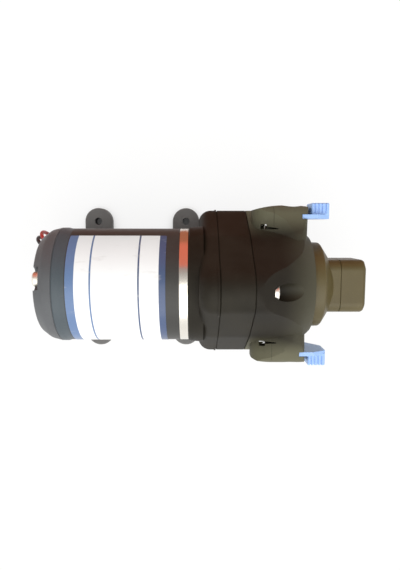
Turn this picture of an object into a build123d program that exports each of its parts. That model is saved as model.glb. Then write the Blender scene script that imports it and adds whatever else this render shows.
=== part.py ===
"""A 12 volt diaphragm water pump for a caravan: a can motor on a rubber-footed base,
a three-lobed pump head with side ports and slide clips, and a pressure switch on its nose.

The origin is the middle of the four mounting holes, on the surface that the feet stand on.
+X runs along the motor axis towards the pressure switch, and +Z is up. Lengths are millimetres.
Distances along the axis are counted from the front face of the bright motor end plate.
"""

import os
from math import cos, pi, radians, sin, tan

from build123d import *

os.makedirs("parts", exist_ok=True)

# Driving dimensions: the motor

CAN_R = 31.5
CAN_WALL = 1.8
CAN_REAR = -70.2
PLATE_REAR = -4.8
CAP_REAR = -82.0
SHAFT_R = 4.0
BUSH_CLEARANCE = 0.03
BOLT_PITCH = 24.5
BOLT_TILT = 12.0
CORE_R = 20.4
MAGNET_INNER_R = 21.3
COMMUTATOR_R = 9.5

# Driving dimensions: the stand

AXIS_HEIGHT = 45.5
MOUNT_X = 56.0
MOUNT_Y = 72.0
FOOT_R = 8.5
FOOT_HEIGHT = 7.5
FOOT_HOLE_R = 2.2
SHEET = 2.0

# Driving dimensions: the pump head

HUB_R = 32.2
BODY_R = 31.8
LOBE_R = 12.9
LOBE_PITCH = 33.8
SCREW_PITCH = 38.8
SEAM_1 = 15.8
SEAM_2 = 33.5
SCREW_SEAT = 42.8
NOSE_FRONT = 66.6
PORT_X = 57.4
PORT_BORE_R = 8.1
PORT_REACH = 43.9
CHAMBER_PITCH = 17.0
WOBBLE_X = 20.0
WOBBLE_TILT = 3.5
CLIP_PLATE = 2.3
CLIP_Y = 38.05
TOWER = 29.2
CAP_SEAM = 83.3
SWITCH_FRONT = 97.0

# The front face of the end plate lies this far from the middle of the mounting holes
RING_X = 30.5

motor_axis = Axis((RING_X, 0, AXIS_HEIGHT), (1, 0, 0))
tilt = radians(WOBBLE_TILT)


def spot(x, y, z):
    """A point given along the motor axis and from it, in the part's own frame."""
    return (RING_X + x, y, AXIS_HEIGHT + z)


def plan(x, y):
    """The same point seen from above, for sketches on level planes."""
    return (RING_X + x, y)


def at(x):
    """The plane across the motor axis at distance x: its own x is +Y and its own y is +Z."""
    return Plane(origin=spot(x, 0, 0), x_dir=(0, 1, 0), z_dir=(1, 0, 0))


def wobbling(offset):
    """The plane across the slanted wobble axis, at an offset from the wobble centre."""
    way = (cos(tilt), 0, -sin(tilt))
    return Plane(origin=spot(WOBBLE_X, 0, 0), x_dir=(0, 1, 0), z_dir=way).offset(offset)


def side(y):
    """The upright plane along the axis at a given y: its own x is +X and its own y is +Z."""
    return Plane(origin=spot(0, y, 0), x_dir=(1, 0, 0), z_dir=(0, -1, 0))


def level(z):
    """The level plane at a height above the motor axis."""
    return Plane.XY.offset(AXIS_HEIGHT + z)


def turned(*points, mode=Mode.ADD):
    """Adds or cuts a ring turned about the motor axis, from (distance, radius) points."""
    with BuildSketch(side(0)) as profile:
        with BuildLine():
            Polyline(*points, close=True)
        make_face()
    revolve(profile.sketch, axis=motor_axis, mode=mode)


def bar(start, end, radius, spots=((0, 0),), plane=at, mode=Mode.ADD):
    """Adds or cuts round bars along the axis, one at each (y, z) spot."""
    with BuildSketch(plane(start)) as section:
        with Locations(*spots):
            Circle(radius)
    extrude(section.sketch, amount=end - start, mode=mode)


def cross_recess(face, spots, length, width, depth, plane=at):
    """Cuts a cross into round heads, from their face at a given distance along the axis."""
    with BuildSketch(plane(face)) as cross:
        with Locations(*spots):
            Rectangle(length, width)
            Rectangle(width, length)
    extrude(cross.sketch, amount=depth, mode=Mode.SUBTRACT)


def ring_of(count, pitch, start_angle):
    """The (y, z) spots of a ring of like things, angles counted from +Y towards +Z."""
    angles = [radians(start_angle + 360 * step / count) for step in range(count)]
    return [(pitch * cos(angle), pitch * sin(angle)) for angle in angles]


def lobed_outline(grow=0.0):
    """The rounded triangle of the pump head: a round body drawn tightly to three lobes."""
    Circle(BODY_R + grow)
    with PolarLocations(LOBE_PITCH, 3, start_angle=90):
        Circle(LOBE_R + grow)
    make_hull()


bolt_spots = ring_of(2, BOLT_PITCH, 90 - BOLT_TILT)
chamber_spots = ring_of(3, CHAMBER_PITCH, 90)
head_screw_spots = ring_of(3, SCREW_PITCH, 90)
hub_screw_spots = ring_of(3, 17.5, 30)
tower_screw_spots = [(y, z) for y in (-10.4, 10.4) for z in (-10.4, 10.4)]


# Motor can: a drawn steel tube, with its rear mouth swelled a little to take the end bell

SWELL = 0.5
MOUTH_CHAMFER = 0.45
base_screw_spots = [plan(-44.0, 0), plan(-17.0, 0)]

with BuildPart() as motor_can:
    turned(
        (CAN_REAR, CAN_R - CAN_WALL),
        (CAN_REAR, CAN_R + SWELL - MOUTH_CHAMFER),
        (CAN_REAR + MOUTH_CHAMFER, CAN_R + SWELL),
        (CAN_REAR + 2.6, CAN_R + SWELL),
        (CAN_REAR + 4.4, CAN_R),
        (PLATE_REAR, CAN_R),
        (PLATE_REAR, CAN_R - CAN_WALL),
    )
    with BuildSketch(level(-CAN_R - 1)):
        with Locations(*base_screw_spots):
            Circle(2.0)
    extrude(amount=CAN_WALL + 2, mode=Mode.SUBTRACT)
motor_can.part.label = "motor_can"

# Label: a wrapped plastic foil that starts on the far side and runs round under the near side

LABEL_REAR = -63.0
LABEL_FRONT = -11.6
LABEL_THICK = 0.16
LABEL_START = 61.0
LABEL_SPAN = 172.0

start = radians(LABEL_START)
label_plane = Plane(
    origin=(RING_X, 0, AXIS_HEIGHT), x_dir=(1, 0, 0), z_dir=(0, -cos(start), sin(start))
)
with BuildPart() as motor_label:
    with BuildSketch(label_plane):
        with Locations(((LABEL_REAR + LABEL_FRONT) / 2, CAN_R + LABEL_THICK / 2)):
            Rectangle(LABEL_FRONT - LABEL_REAR, LABEL_THICK)
    revolve(axis=motor_axis, revolution_arc=LABEL_SPAN)
motor_label.part.label = "motor_label"

# Rear end bell: the pressed steel plate that closes the can and holds the rear bush

with BuildPart() as rear_end_bell:
    turned(
        (CAN_REAR, 9.0),
        (CAN_REAR, CAN_R - CAN_WALL),
        (CAN_REAR + 1.6, CAN_R - CAN_WALL),
        (CAN_REAR + 1.6, 6.5),
        (CAN_REAR - 5.4, 6.5),
        (CAN_REAR - 5.4, 9.0),
    )
    bar(CAN_REAR - 1, CAN_REAR + 3, 2.25, bolt_spots, mode=Mode.SUBTRACT)
    with BuildSketch(at(CAN_REAR - 1)):
        with Locations((17.5, -12.0)):
            SlotOverall(9.0, 4.0, rotation=35)
    extrude(amount=4, mode=Mode.SUBTRACT)
rear_end_bell.part.label = "rear_end_bell"

# Bushes: sintered bronze, one at each end of the shaft

with BuildPart() as rear_bush:
    turned(
        (CAN_REAR - 5.4, SHAFT_R + BUSH_CLEARANCE),
        (CAN_REAR - 5.4, 6.5),
        (CAN_REAR + 1.6, 6.5),
        (CAN_REAR + 1.6, SHAFT_R + BUSH_CLEARANCE),
    )
rear_bush.part.label = "rear_bush"

with BuildPart() as front_bush:
    turned(
        (-8.4, SHAFT_R + BUSH_CLEARANCE),
        (-8.4, 7.0),
        (0, 7.0),
        (0, SHAFT_R + BUSH_CLEARANCE),
    )
front_bush.part.label = "front_bush"

# Front end plate: bright plated steel, spigoted into the can, and seen as the bright ring

with BuildPart() as front_end_plate:
    turned(
        (PLATE_REAR - 2.4, 9.5),
        (PLATE_REAR - 2.4, CAN_R - CAN_WALL),
        (PLATE_REAR, CAN_R - CAN_WALL),
        (PLATE_REAR, CAN_R),
        (0, CAN_R),
        (0, 7.0),
        (-8.4, 7.0),
        (-8.4, 9.5),
    )
    fillet(front_end_plate.edges().filter_by(GeomType.CIRCLE).sort_by(SortBy.RADIUS)[-2:], 0.35)
    bar(PLATE_REAR - 3, 0, 2.0, bolt_spots, mode=Mode.SUBTRACT)
    bar(PLATE_REAR - 3, 0, 1.6, hub_screw_spots, mode=Mode.SUBTRACT)
front_end_plate.part.label = "front_end_plate"

# End cap: a moulded black cap over the end bell, notched for the two long motor bolts

BOLT_SEAT = -77.4
NOTCH_R = 6.2
GLAND_AT = (-80.8, 20.0, -8.0)
GLAND_WAY = (-0.80, 0.52, -0.30)
GLAND_SIDE = (0.60, 0.693, -0.40)
GLAND_NOSE = 2.2
GLAND_R = 3.9

gland_plane = Plane(origin=spot(*GLAND_AT), x_dir=GLAND_SIDE, z_dir=GLAND_WAY)

with BuildPart() as cap_hollow:
    turned(
        (CAN_REAR, 0),
        (CAN_REAR, CAN_R - 2.4),
        (CAN_REAR - 5.5, CAN_R - 3.0),
        (CAP_REAR + 3.6, CAN_R - 7.0),
        (CAP_REAR + 2.2, CAN_R - 15.5),
        (CAP_REAR + 2.2, 0),
    )
    bar(CAN_REAR, CAP_REAR, NOTCH_R + 1.8, bolt_spots, mode=Mode.SUBTRACT)

with BuildPart() as end_cap:
    with BuildSketch(side(0)):
        with BuildLine():
            FilletPolyline(
                (CAN_REAR, 0),
                (CAN_REAR, CAN_R + SWELL - MOUTH_CHAMFER),
                (CAN_REAR - MOUTH_CHAMFER, CAN_R + SWELL),
                (CAN_REAR - 5.5, CAN_R - 0.7),
                (CAP_REAR + 1.0, CAN_R - 4.6),
                (CAP_REAR, CAN_R - 14.5),
                (CAP_REAR, 0),
                radius=(0, 0, 6.0, 3.2, 6.0),
            )
            Line((CAP_REAR, 0), (CAN_REAR, 0))
        make_face()
    revolve(axis=motor_axis)
    add(cap_hollow.part, mode=Mode.SUBTRACT)
    for bolt_y, bolt_z in bolt_spots:
        with BuildSketch(at(BOLT_SEAT)):
            with Locations((bolt_y, bolt_z), (1.5 * bolt_y, 1.5 * bolt_z)):
                Circle(NOTCH_R)
            make_hull()
        extrude(amount=CAP_REAR - 1 - BOLT_SEAT, mode=Mode.SUBTRACT)
    bar(CAN_REAR + 1, BOLT_SEAT - 1, 2.2, bolt_spots, mode=Mode.SUBTRACT)
    with BuildSketch(gland_plane.offset(-3.5)):
        Circle(GLAND_R)
    extrude(amount=6, mode=Mode.SUBTRACT)
end_cap.part.label = "end_cap"

# Motor bolts: two long bolts from the cap, through the can, into the front end plate

with BuildPart() as motor_bolts:
    bar(BOLT_SEAT, BOLT_SEAT - 0.6, 4.5, bolt_spots)
    bar(BOLT_SEAT, BOLT_SEAT - 3.6, 4.0, bolt_spots)
    fillet(motor_bolts.faces().sort_by(Axis.X)[:2].edges(), 1.1)
    cross_recess(BOLT_SEAT - 3.6, bolt_spots, 4.6, 1.0, 1.7)
    bar(BOLT_SEAT, -1.0, 2.0, bolt_spots)
motor_bolts.part.label = "motor_bolts"

# Lead gland: a rubber grommet, set at a slant in the cap, with a hole for each lead

LEAD_R = 1.1
LEAD_GAP = 3.3

with BuildPart() as lead_gland:
    with BuildSketch(gland_plane.offset(-3.5)):
        Circle(GLAND_R)
    extrude(amount=3.5 + GLAND_NOSE)
    fillet(lead_gland.faces().sort_by(Axis.X)[0].edges(), 0.8)
    with BuildSketch(gland_plane.offset(-3.5)):
        with Locations((-LEAD_GAP / 2, 0), (LEAD_GAP / 2, 0)):
            Circle(LEAD_R)
    extrude(amount=3.6, mode=Mode.SUBTRACT)
lead_gland.part.label = "lead_gland"

# Magnets: two ferrite arcs glued inside the can, with a gap above and below for the bolts

with BuildPart() as field_magnets:
    with BuildSketch(at(-52)):
        Circle(CAN_R - CAN_WALL)
        Circle(MAGNET_INNER_R, mode=Mode.SUBTRACT)
        Rectangle(26, 2 * CAN_R, mode=Mode.SUBTRACT)
    extrude(amount=38)
field_magnets.part.label = "field_magnets"

# Armature: a slotted stack of laminations, with copper coils through its slots

SLOTS = 12
STACK_REAR = -50.0
STACK_FRONT = -16.0

with BuildPart() as armature_core:
    with BuildSketch(at(STACK_REAR)):
        Circle(CORE_R)
        Circle(SHAFT_R, mode=Mode.SUBTRACT)
        with PolarLocations(CORE_R - 5.0, SLOTS):
            Rectangle(8.0, 3.0, mode=Mode.SUBTRACT)
        with PolarLocations(CORE_R - 1.0, SLOTS):
            Rectangle(4.0, 1.6, mode=Mode.SUBTRACT)
    extrude(amount=STACK_FRONT - STACK_REAR)
armature_core.part.label = "armature_core"

with BuildPart() as armature_windings:
    with BuildSketch(at(STACK_REAR)):
        with PolarLocations(CORE_R - 5.4, SLOTS):
            Rectangle(7.0, 2.8)
    extrude(amount=STACK_FRONT - STACK_REAR)
    for inner_end, outer_end in ((STACK_REAR, STACK_REAR - 6.0), (STACK_FRONT, STACK_FRONT + 6.0)):
        turned((inner_end, 8.5), (inner_end, 18.4), (outer_end, 17.0), (outer_end, 8.5))
armature_windings.part.label = "armature_windings"

# Motor shaft: ground steel, with a flat for the set screw of the cam

with BuildPart() as motor_shaft:
    bar(CAN_REAR - 5.0, 25.0, SHAFT_R)
    chamfer(motor_shaft.edges().filter_by(GeomType.CIRCLE), 0.5)
    with BuildSketch(at(3.0)):
        with Locations((0, SHAFT_R - 0.25)):
            Rectangle(2 * SHAFT_R, 0.5)
    extrude(amount=22.5, mode=Mode.SUBTRACT)
motor_shaft.part.label = "motor_shaft"

# Commutator: copper bars round a moulded core on the shaft

COMMUTATOR_REAR = -66.0
COMMUTATOR_FRONT = -57.0

with BuildPart() as commutator:
    with BuildSketch(at(COMMUTATOR_REAR)):
        Circle(COMMUTATOR_R)
        Circle(SHAFT_R, mode=Mode.SUBTRACT)
        with PolarLocations(COMMUTATOR_R, SLOTS, start_angle=15):
            Rectangle(1.6, 0.5, mode=Mode.SUBTRACT)
    extrude(amount=COMMUTATOR_FRONT - COMMUTATOR_REAR)
commutator.part.label = "commutator"

# Brush gear: a moulded card with two open boxes, two carbon brushes and their springs

BRUSH_X = -62.0
BRUSH_WIDE = 5.0
BRUSH_TALL = 6.0
BRUSH_END = 19.0
BOX_WALL = 1.0

with BuildPart() as brush_holder:
    with BuildSketch(at(CAN_REAR + 1.6)):
        Circle(CAN_R - CAN_WALL)
        Circle(COMMUTATOR_R + 1.5, mode=Mode.SUBTRACT)
    extrude(amount=1.6)
    with BuildSketch(at(CAN_REAR + 3.2)):
        with Locations((18.8, 0), (-18.8, 0)):
            Rectangle(15.0, BRUSH_TALL + 2 * BOX_WALL)
    extrude(amount=BRUSH_X + BRUSH_WIDE / 2 + BOX_WALL - CAN_REAR - 3.2)
    with BuildSketch(at(BRUSH_X - BRUSH_WIDE / 2)):
        with Locations((17.8, 0), (-17.8, 0)):
            Rectangle(15.0, BRUSH_TALL)
    extrude(amount=BRUSH_WIDE, mode=Mode.SUBTRACT)
    bar(CAN_REAR, CAN_REAR + 5, 2.25, bolt_spots, mode=Mode.SUBTRACT)
brush_holder.part.label = "brush_holder"

with BuildPart() as carbon_brushes:
    with BuildSketch(at(BRUSH_X - BRUSH_WIDE / 2)):
        Rectangle(2 * BRUSH_END, BRUSH_TALL)
        Circle(COMMUTATOR_R + 0.05, mode=Mode.SUBTRACT)
    extrude(amount=BRUSH_WIDE)
carbon_brushes.part.label = "carbon_brushes"


def coil_spring(start_point, way, radius, wire_r, pitch, height):
    """Adds a round-wire compression spring that grows from a point along a direction."""
    with BuildLine(mode=Mode.PRIVATE) as coil:
        Helix(pitch=pitch, height=height, radius=radius, center=start_point, direction=way)
    with BuildSketch(Plane(origin=coil.line @ 0, z_dir=coil.line % 0)) as wire:
        Circle(wire_r)
    sweep(wire.sketch, path=coil.line, is_frenet=True)


with BuildPart() as brush_springs:
    for hand in (1, -1):
        coil_spring(spot(BRUSH_X, hand * (BRUSH_END + 0.4), 0), (0, hand, 0), 1.8, 0.3, 1.4, 5.0)
brush_springs.part.label = "brush_springs"

# Base plate: pressed steel, a saddle under the can and two pairs of ears for the feet

EAR_Z = 2.8
SADDLE_ANGLE = 26.0
EAR_R = 6.0
PLATE_LONG = MOUNT_X + 2 * EAR_R

saddle_y = (CAN_R + SHEET) * sin(radians(SADDLE_ANGLE))
saddle_z = AXIS_HEIGHT - (CAN_R + SHEET) * cos(radians(SADDLE_ANGLE))
saddle_top_y = CAN_R * sin(radians(SADDLE_ANGLE))
saddle_top_z = AXIS_HEIGHT - CAN_R * cos(radians(SADDLE_ANGLE))
section_plane = Plane(
    origin=(-PLATE_LONG / 2, 0, 0), x_dir=(0, 1, 0), z_dir=(1, 0, 0)
)

with BuildPart() as base_plate:
    with BuildSketch(section_plane):
        with BuildLine():
            Polyline(
                (-saddle_top_y, saddle_top_z),
                (-20.6, EAR_Z + SHEET),
                (-MOUNT_Y / 2 - EAR_R, EAR_Z + SHEET),
                (-MOUNT_Y / 2 - EAR_R, EAR_Z),
                (-19.4, EAR_Z),
                (-saddle_y, saddle_z),
            )
            ThreePointArc(
                (-saddle_y, saddle_z), (0, AXIS_HEIGHT - CAN_R - SHEET), (saddle_y, saddle_z)
            )
            Polyline(
                (saddle_y, saddle_z),
                (19.4, EAR_Z),
                (MOUNT_Y / 2 + EAR_R, EAR_Z),
                (MOUNT_Y / 2 + EAR_R, EAR_Z + SHEET),
                (20.6, EAR_Z + SHEET),
                (saddle_top_y, saddle_top_z),
            )
            ThreePointArc(
                (saddle_top_y, saddle_top_z), (0, AXIS_HEIGHT - CAN_R), (-saddle_top_y, saddle_top_z)
            )
        make_face()
    extrude(amount=PLATE_LONG)
    with BuildSketch(Plane.XY):
        with Locations((0, MOUNT_Y / 2), (0, -MOUNT_Y / 2)):
            RectangleRounded(MOUNT_X - 2 * EAR_R, 34.0, 3.0)
        with Locations((RING_X + 4.5, 0)):
            Rectangle(10.0, 2 * 20.6)
    extrude(amount=AXIS_HEIGHT - CAN_R + 6, mode=Mode.SUBTRACT)
    fillet(
        base_plate.edges().filter_by(Axis.Z).filter_by(
            lambda edge: abs(edge.center().Y) > MOUNT_Y / 2
        ),
        EAR_R - 0.01,
    )
    with BuildSketch(Plane.XY):
        with GridLocations(MOUNT_X, MOUNT_Y, 2, 2):
            Circle(FOOT_HOLE_R)
        with Locations(*base_screw_spots):
            Circle(2.1)
    extrude(amount=AXIS_HEIGHT, mode=Mode.SUBTRACT)
base_plate.part.label = "base_plate"

# Base screws: two short screws up through the saddle into threaded holes in the can

with BuildPart() as base_screws:
    with BuildSketch(level(-CAN_R - SHEET - 2.4)):
        with Locations(*base_screw_spots):
            Circle(3.8)
    extrude(amount=2.4)
    fillet(base_screws.faces().sort_by(Axis.Z)[:2].edges(), 0.8)
    with BuildSketch(level(-CAN_R - SHEET)):
        with Locations(*base_screw_spots):
            Circle(2.0)
    extrude(amount=SHEET + CAN_WALL + 1.2)
base_screws.part.label = "base_screws"

# Feet: four moulded rubber boots, each pushed over an ear and holed for a mounting screw

FOOT_INNER_Y = 23.0
foot_names = {(-1, 1): "foot_rear_left", (1, 1): "foot_front_left"}
foot_names.update({(-1, -1): "foot_rear_right", (1, -1): "foot_front_right"})
feet = []
for (end, hand), foot_name in foot_names.items():
    hole_x = end * MOUNT_X / 2
    hole_y = hand * MOUNT_Y / 2
    block_y = hand * (FOOT_INNER_Y + MOUNT_Y / 2) / 2
    with BuildPart() as foot:
        with BuildSketch(Plane.XY):
            with Locations((hole_x, hole_y)):
                Circle(FOOT_R)
            with Locations((hole_x, block_y)):
                Rectangle(2 * FOOT_R, MOUNT_Y / 2 - FOOT_INNER_Y)
        extrude(amount=FOOT_HEIGHT)
        fillet(foot.faces().sort_by(Axis.Z)[-1].edges(), 0.9)
        with BuildSketch(Plane.XY.offset(EAR_Z)):
            with Locations((hole_x, hole_y)):
                Circle(EAR_R + 0.05)
            with Locations((hole_x, block_y - hand * 1.0)):
                Rectangle(2 * EAR_R + 0.1, MOUNT_Y / 2 - FOOT_INNER_Y + 2.0)
        extrude(amount=SHEET, mode=Mode.SUBTRACT)
        with BuildSketch(Plane.XY):
            with Locations((hole_x, hole_y)):
                Circle(FOOT_HOLE_R)
        extrude(amount=FOOT_HEIGHT, mode=Mode.SUBTRACT)
    foot.part.label = foot_name
    feet.append(foot)

# Lower housing: the moulded drive housing, screwed to the motor's end plate from inside

LOBE_START = 5.6
SHOULDER_R = 7.0

with BuildPart() as lower_housing:
    with BuildSketch(at(LOBE_START)):
        lobed_outline()
    extrude(amount=SEAM_1 - LOBE_START)
    fillet(lower_housing.faces().sort_by(Axis.X)[0].edges(), SHOULDER_R)
    turned((0, 0), (0, HUB_R - 0.6), (0.6, HUB_R), (8.0, HUB_R + 0.6), (8.0, 0))
    bar(SEAM_1 - 0.9, SEAM_1, LOBE_R + 0.45, ring_of(3, LOBE_PITCH, 90))
    turned((4.0, 0), (4.0, 25.0), (5.5, 27.0), (SEAM_1, 27.5), (SEAM_1, 0), mode=Mode.SUBTRACT)
    bar(-1, 5, 9.0, mode=Mode.SUBTRACT)
    bar(0, 5, 2.1, hub_screw_spots, mode=Mode.SUBTRACT)
    bar(8.0, SEAM_1, 2.0, head_screw_spots, mode=Mode.SUBTRACT)
lower_housing.part.label = "lower_housing"

# Drive screws: three screws inside the lower housing, into the motor's end plate

with BuildPart() as drive_screws:
    bar(4.0, 6.4, 3.4, hub_screw_spots)
    fillet(drive_screws.faces().sort_by(Axis.X)[-3:].edges(), 0.9)
    bar(-6.0, 4.0, 1.6, hub_screw_spots)
drive_screws.part.label = "drive_screws"

# Wobble cam: a steel hub on the shaft with a slanted journal for the ball bearing

JOURNAL_R = 6.0
BEARING_WIDE = 8.0

with BuildPart() as wobble_cam:
    bar(5.4, 14.0, 8.5)
    bar(-BEARING_WIDE / 2 - 2.2, -BEARING_WIDE / 2, 7.4, plane=wobbling)
    bar(-BEARING_WIDE / 2 - 1.0, BEARING_WIDE / 2 + 0.4, JOURNAL_R, plane=wobbling)
    bar(4.0, 26.0, SHAFT_R, mode=Mode.SUBTRACT)
    with BuildSketch(level(0)):
        with Locations((RING_X + 9.6, 0)):
            Circle(1.5)
    extrude(amount=10, mode=Mode.SUBTRACT)
wobble_cam.part.label = "wobble_cam"

with BuildPart() as cam_set_screw:
    with BuildSketch(level(SHAFT_R - 0.5)):
        with Locations((RING_X + 9.6, 0)):
            Circle(1.5)
    extrude(amount=4.2)
    with BuildSketch(level(SHAFT_R + 2.0)):
        with Locations((RING_X + 9.6, 0)):
            RegularPolygon(0.85, 6)
    extrude(amount=3, mode=Mode.SUBTRACT)
cam_set_screw.part.label = "cam_set_screw"

# Ball bearing between the cam and the wobble plate: inner race, ring of balls, outer race

INNER_RACE_R = 8.2
OUTER_RACE_R = 11.6
BEARING_R = 14.0
BALLS = 9

with BuildPart() as bearing_inner_race:
    bar(-BEARING_WIDE / 2, BEARING_WIDE / 2, INNER_RACE_R, plane=wobbling)
    bar(-BEARING_WIDE, BEARING_WIDE, JOURNAL_R, plane=wobbling, mode=Mode.SUBTRACT)
bearing_inner_race.part.label = "bearing_inner_race"

with BuildPart() as bearing_outer_race:
    bar(-BEARING_WIDE / 2, BEARING_WIDE / 2, BEARING_R, plane=wobbling)
    bar(-BEARING_WIDE, BEARING_WIDE, OUTER_RACE_R, plane=wobbling, mode=Mode.SUBTRACT)
bearing_outer_race.part.label = "bearing_outer_race"

with BuildPart() as bearing_balls:
    with Locations(wobbling(0)):
        with PolarLocations((INNER_RACE_R + OUTER_RACE_R) / 2, BALLS):
            Sphere((OUTER_RACE_R - INNER_RACE_R) / 2 - 0.05)
bearing_balls.part.label = "bearing_balls"

# Wobble plate: a moulded cup on the bearing with three arms that push the diaphragm

BOSS_R = 6.3
BOSS_END = 13.5
ARM_REAR = 4.2
ARM_FRONT = 8.0

with BuildPart() as wobble_plate:
    bar(-BEARING_WIDE / 2, ARM_REAR, BEARING_R + 2.6, plane=wobbling)
    with BuildSketch(wobbling(ARM_REAR)):
        Circle(BEARING_R + 2.6)
        with Locations(*chamber_spots):
            Circle(BOSS_R + 0.8)
        make_hull()
    extrude(amount=ARM_FRONT - ARM_REAR)
    bar(ARM_FRONT, BOSS_END, BOSS_R, chamber_spots, plane=wobbling)
    bar(-BEARING_WIDE, BEARING_WIDE / 2, BEARING_R, plane=wobbling, mode=Mode.SUBTRACT)
    bar(-BEARING_WIDE, BOSS_END, 9.2, plane=wobbling, mode=Mode.SUBTRACT)
    bar(BOSS_END - 8.0, BOSS_END, 1.5, chamber_spots, plane=wobbling, mode=Mode.SUBTRACT)
wobble_plate.part.label = "wobble_plate"

# Middle housing: clamps the diaphragm rim, with one opening for each arm of the wobble plate.
# It is drawn in a little at both ends, which leaves a shadow gap at each seam.

OPENING_R = 10.4
WALL_REAR = SEAM_2 - 2.4
SEAM_DEEP = 0.5
SEAM_WIDE = 0.5

with BuildPart() as middle_housing:
    for gap, drawn_in in ((0, SEAM_DEEP), (SEAM_WIDE, 0)):
        with BuildSketch(at(SEAM_1 + gap)):
            lobed_outline(-drawn_in)
        extrude(amount=SEAM_2 - SEAM_1 - 2 * gap)
    bar(SEAM_1, WALL_REAR, 27.5, mode=Mode.SUBTRACT)
    bar(WALL_REAR, SEAM_2, OPENING_R, chamber_spots, mode=Mode.SUBTRACT)
    bar(SEAM_1, SEAM_2, 2.1, head_screw_spots, mode=Mode.SUBTRACT)
middle_housing.part.label = "middle_housing"

# Diaphragm: one rubber sheet with a raised ring and a moving pad in each of its three chambers

SHEET_FRONT = SEAM_2 + 1.4
DISC_R = 29.4
PAD_R = 7.9
PAD_FRONT = BOSS_END + 1.3

with BuildPart() as diaphragm:
    bar(SEAM_2, SHEET_FRONT, DISC_R)
    bar(SEAM_2, SHEET_FRONT, 8.6, chamber_spots, mode=Mode.SUBTRACT)
    bar(SEAM_2 - 1.6, SHEET_FRONT + 1.6, 9.8, chamber_spots)
    bar(SEAM_2 - 1.6, SHEET_FRONT + 1.6, 8.3, chamber_spots, mode=Mode.SUBTRACT)
    bar(BOSS_END, PAD_FRONT, 9.0, chamber_spots, plane=wobbling)
    bar(BOSS_END - 3, PAD_FRONT + 3, 1.5, chamber_spots, plane=wobbling, mode=Mode.SUBTRACT)
diaphragm.part.label = "diaphragm"

# Pistons: a disc in front of each pad, drawn to its arm by a screw

PISTON_R = 7.0
PISTON_FRONT = PAD_FRONT + 2.6

with BuildPart() as pistons:
    bar(PAD_FRONT, PISTON_FRONT, PISTON_R, chamber_spots, plane=wobbling)
    bar(PAD_FRONT + 1.2, PISTON_FRONT, 2.9, chamber_spots, plane=wobbling, mode=Mode.SUBTRACT)
    bar(PAD_FRONT, PISTON_FRONT, 1.5, chamber_spots, plane=wobbling, mode=Mode.SUBTRACT)
pistons.part.label = "pistons"

with BuildPart() as piston_screws:
    bar(PAD_FRONT + 1.2, PISTON_FRONT, 2.7, chamber_spots, plane=wobbling)
    bar(BOSS_END - 7.0, PAD_FRONT + 1.2, 1.5, chamber_spots, plane=wobbling)
    cross_recess(PISTON_FRONT, chamber_spots, 3.4, 0.8, -0.9, plane=wobbling)
piston_screws.part.label = "piston_screws"

# Valve plate: one disc with a pocket for each piston, three inlet valves and the outlet valve

PLATE_FRONT = 42.6
POCKET_FLOOR = 39.8
valve_hole_spots = [(0.62 * y, 0.62 * z) for y, z in chamber_spots]
inlet_hole_spots = []
for angle in (90, 210, 330):
    for turn in (-13, 13):
        way = radians(angle + turn)
        inlet_hole_spots.append((23.4 * cos(way), 23.4 * sin(way)))

with BuildPart() as valve_plate:
    bar(SHEET_FRONT, PLATE_FRONT, DISC_R)
    bar(SHEET_FRONT, POCKET_FLOOR, OPENING_R, chamber_spots, mode=Mode.SUBTRACT)
    bar(POCKET_FLOOR, PLATE_FRONT, 1.0, valve_hole_spots, mode=Mode.SUBTRACT)
    bar(POCKET_FLOOR, PLATE_FRONT, 1.0, inlet_hole_spots, mode=Mode.SUBTRACT)
    bar(POCKET_FLOOR, PLATE_FRONT, 1.2, chamber_spots, mode=Mode.SUBTRACT)
    bar(SHEET_FRONT + 1.0, PLATE_FRONT, 1.5, mode=Mode.SUBTRACT)
valve_plate.part.label = "valve_plate"

# Valves: rubber flaps on stems, which bend to let the water through one way

with BuildPart() as inlet_valves:
    bar(POCKET_FLOOR - 0.5, POCKET_FLOOR, 6.0, [(1.18 * y, 1.18 * z) for y, z in chamber_spots])
    bar(POCKET_FLOOR, PLATE_FRONT + 0.6, 1.2, chamber_spots)
inlet_valves.part.label = "inlet_valves"

with BuildPart() as outlet_valve:
    bar(PLATE_FRONT, PLATE_FRONT + 0.8, 12.6)
    bar(SHEET_FRONT + 2.6, PLATE_FRONT, 1.5)
outlet_valve.part.label = "outlet_valve"

with BuildPart() as valve_seal:
    bar(PLATE_FRONT, PLATE_FRONT + 1.4, DISC_R)
    bar(PLATE_FRONT, PLATE_FRONT + 1.4, 26.6, mode=Mode.SUBTRACT)
valve_seal.part.label = "valve_seal"

# Port arms: each side port is a moulded arm, barrelled and rounded at its outer end, whose
# root spreads into a tall gusset towards the nose

ARM_HIGH = 13.4
ARM_START = 35.5
ARM_END = 67.0
ARM_REAR_Y = 41.2
ARM_FRONT_Y = PORT_REACH - 0.9
BULGE = 0.5
ARM_ROUND = 9.0
ROOT_Y = 18.0
GUSSET_X = 61.6
GUSSET_HIGH = 24.6
GUSSET_END = 66.6

arm_profiles = (
    (46.0, ((ARM_START, 12.8), (64.0, 13.8), (ARM_END + 0.6, 0)), (10.5, 7.0, 14.0)),
    (ROOT_Y, ((ARM_START, 5.0), (GUSSET_X, GUSSET_HIGH), (GUSSET_END, 0)), (4.0, 4.0, 14.0)),
)

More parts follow.
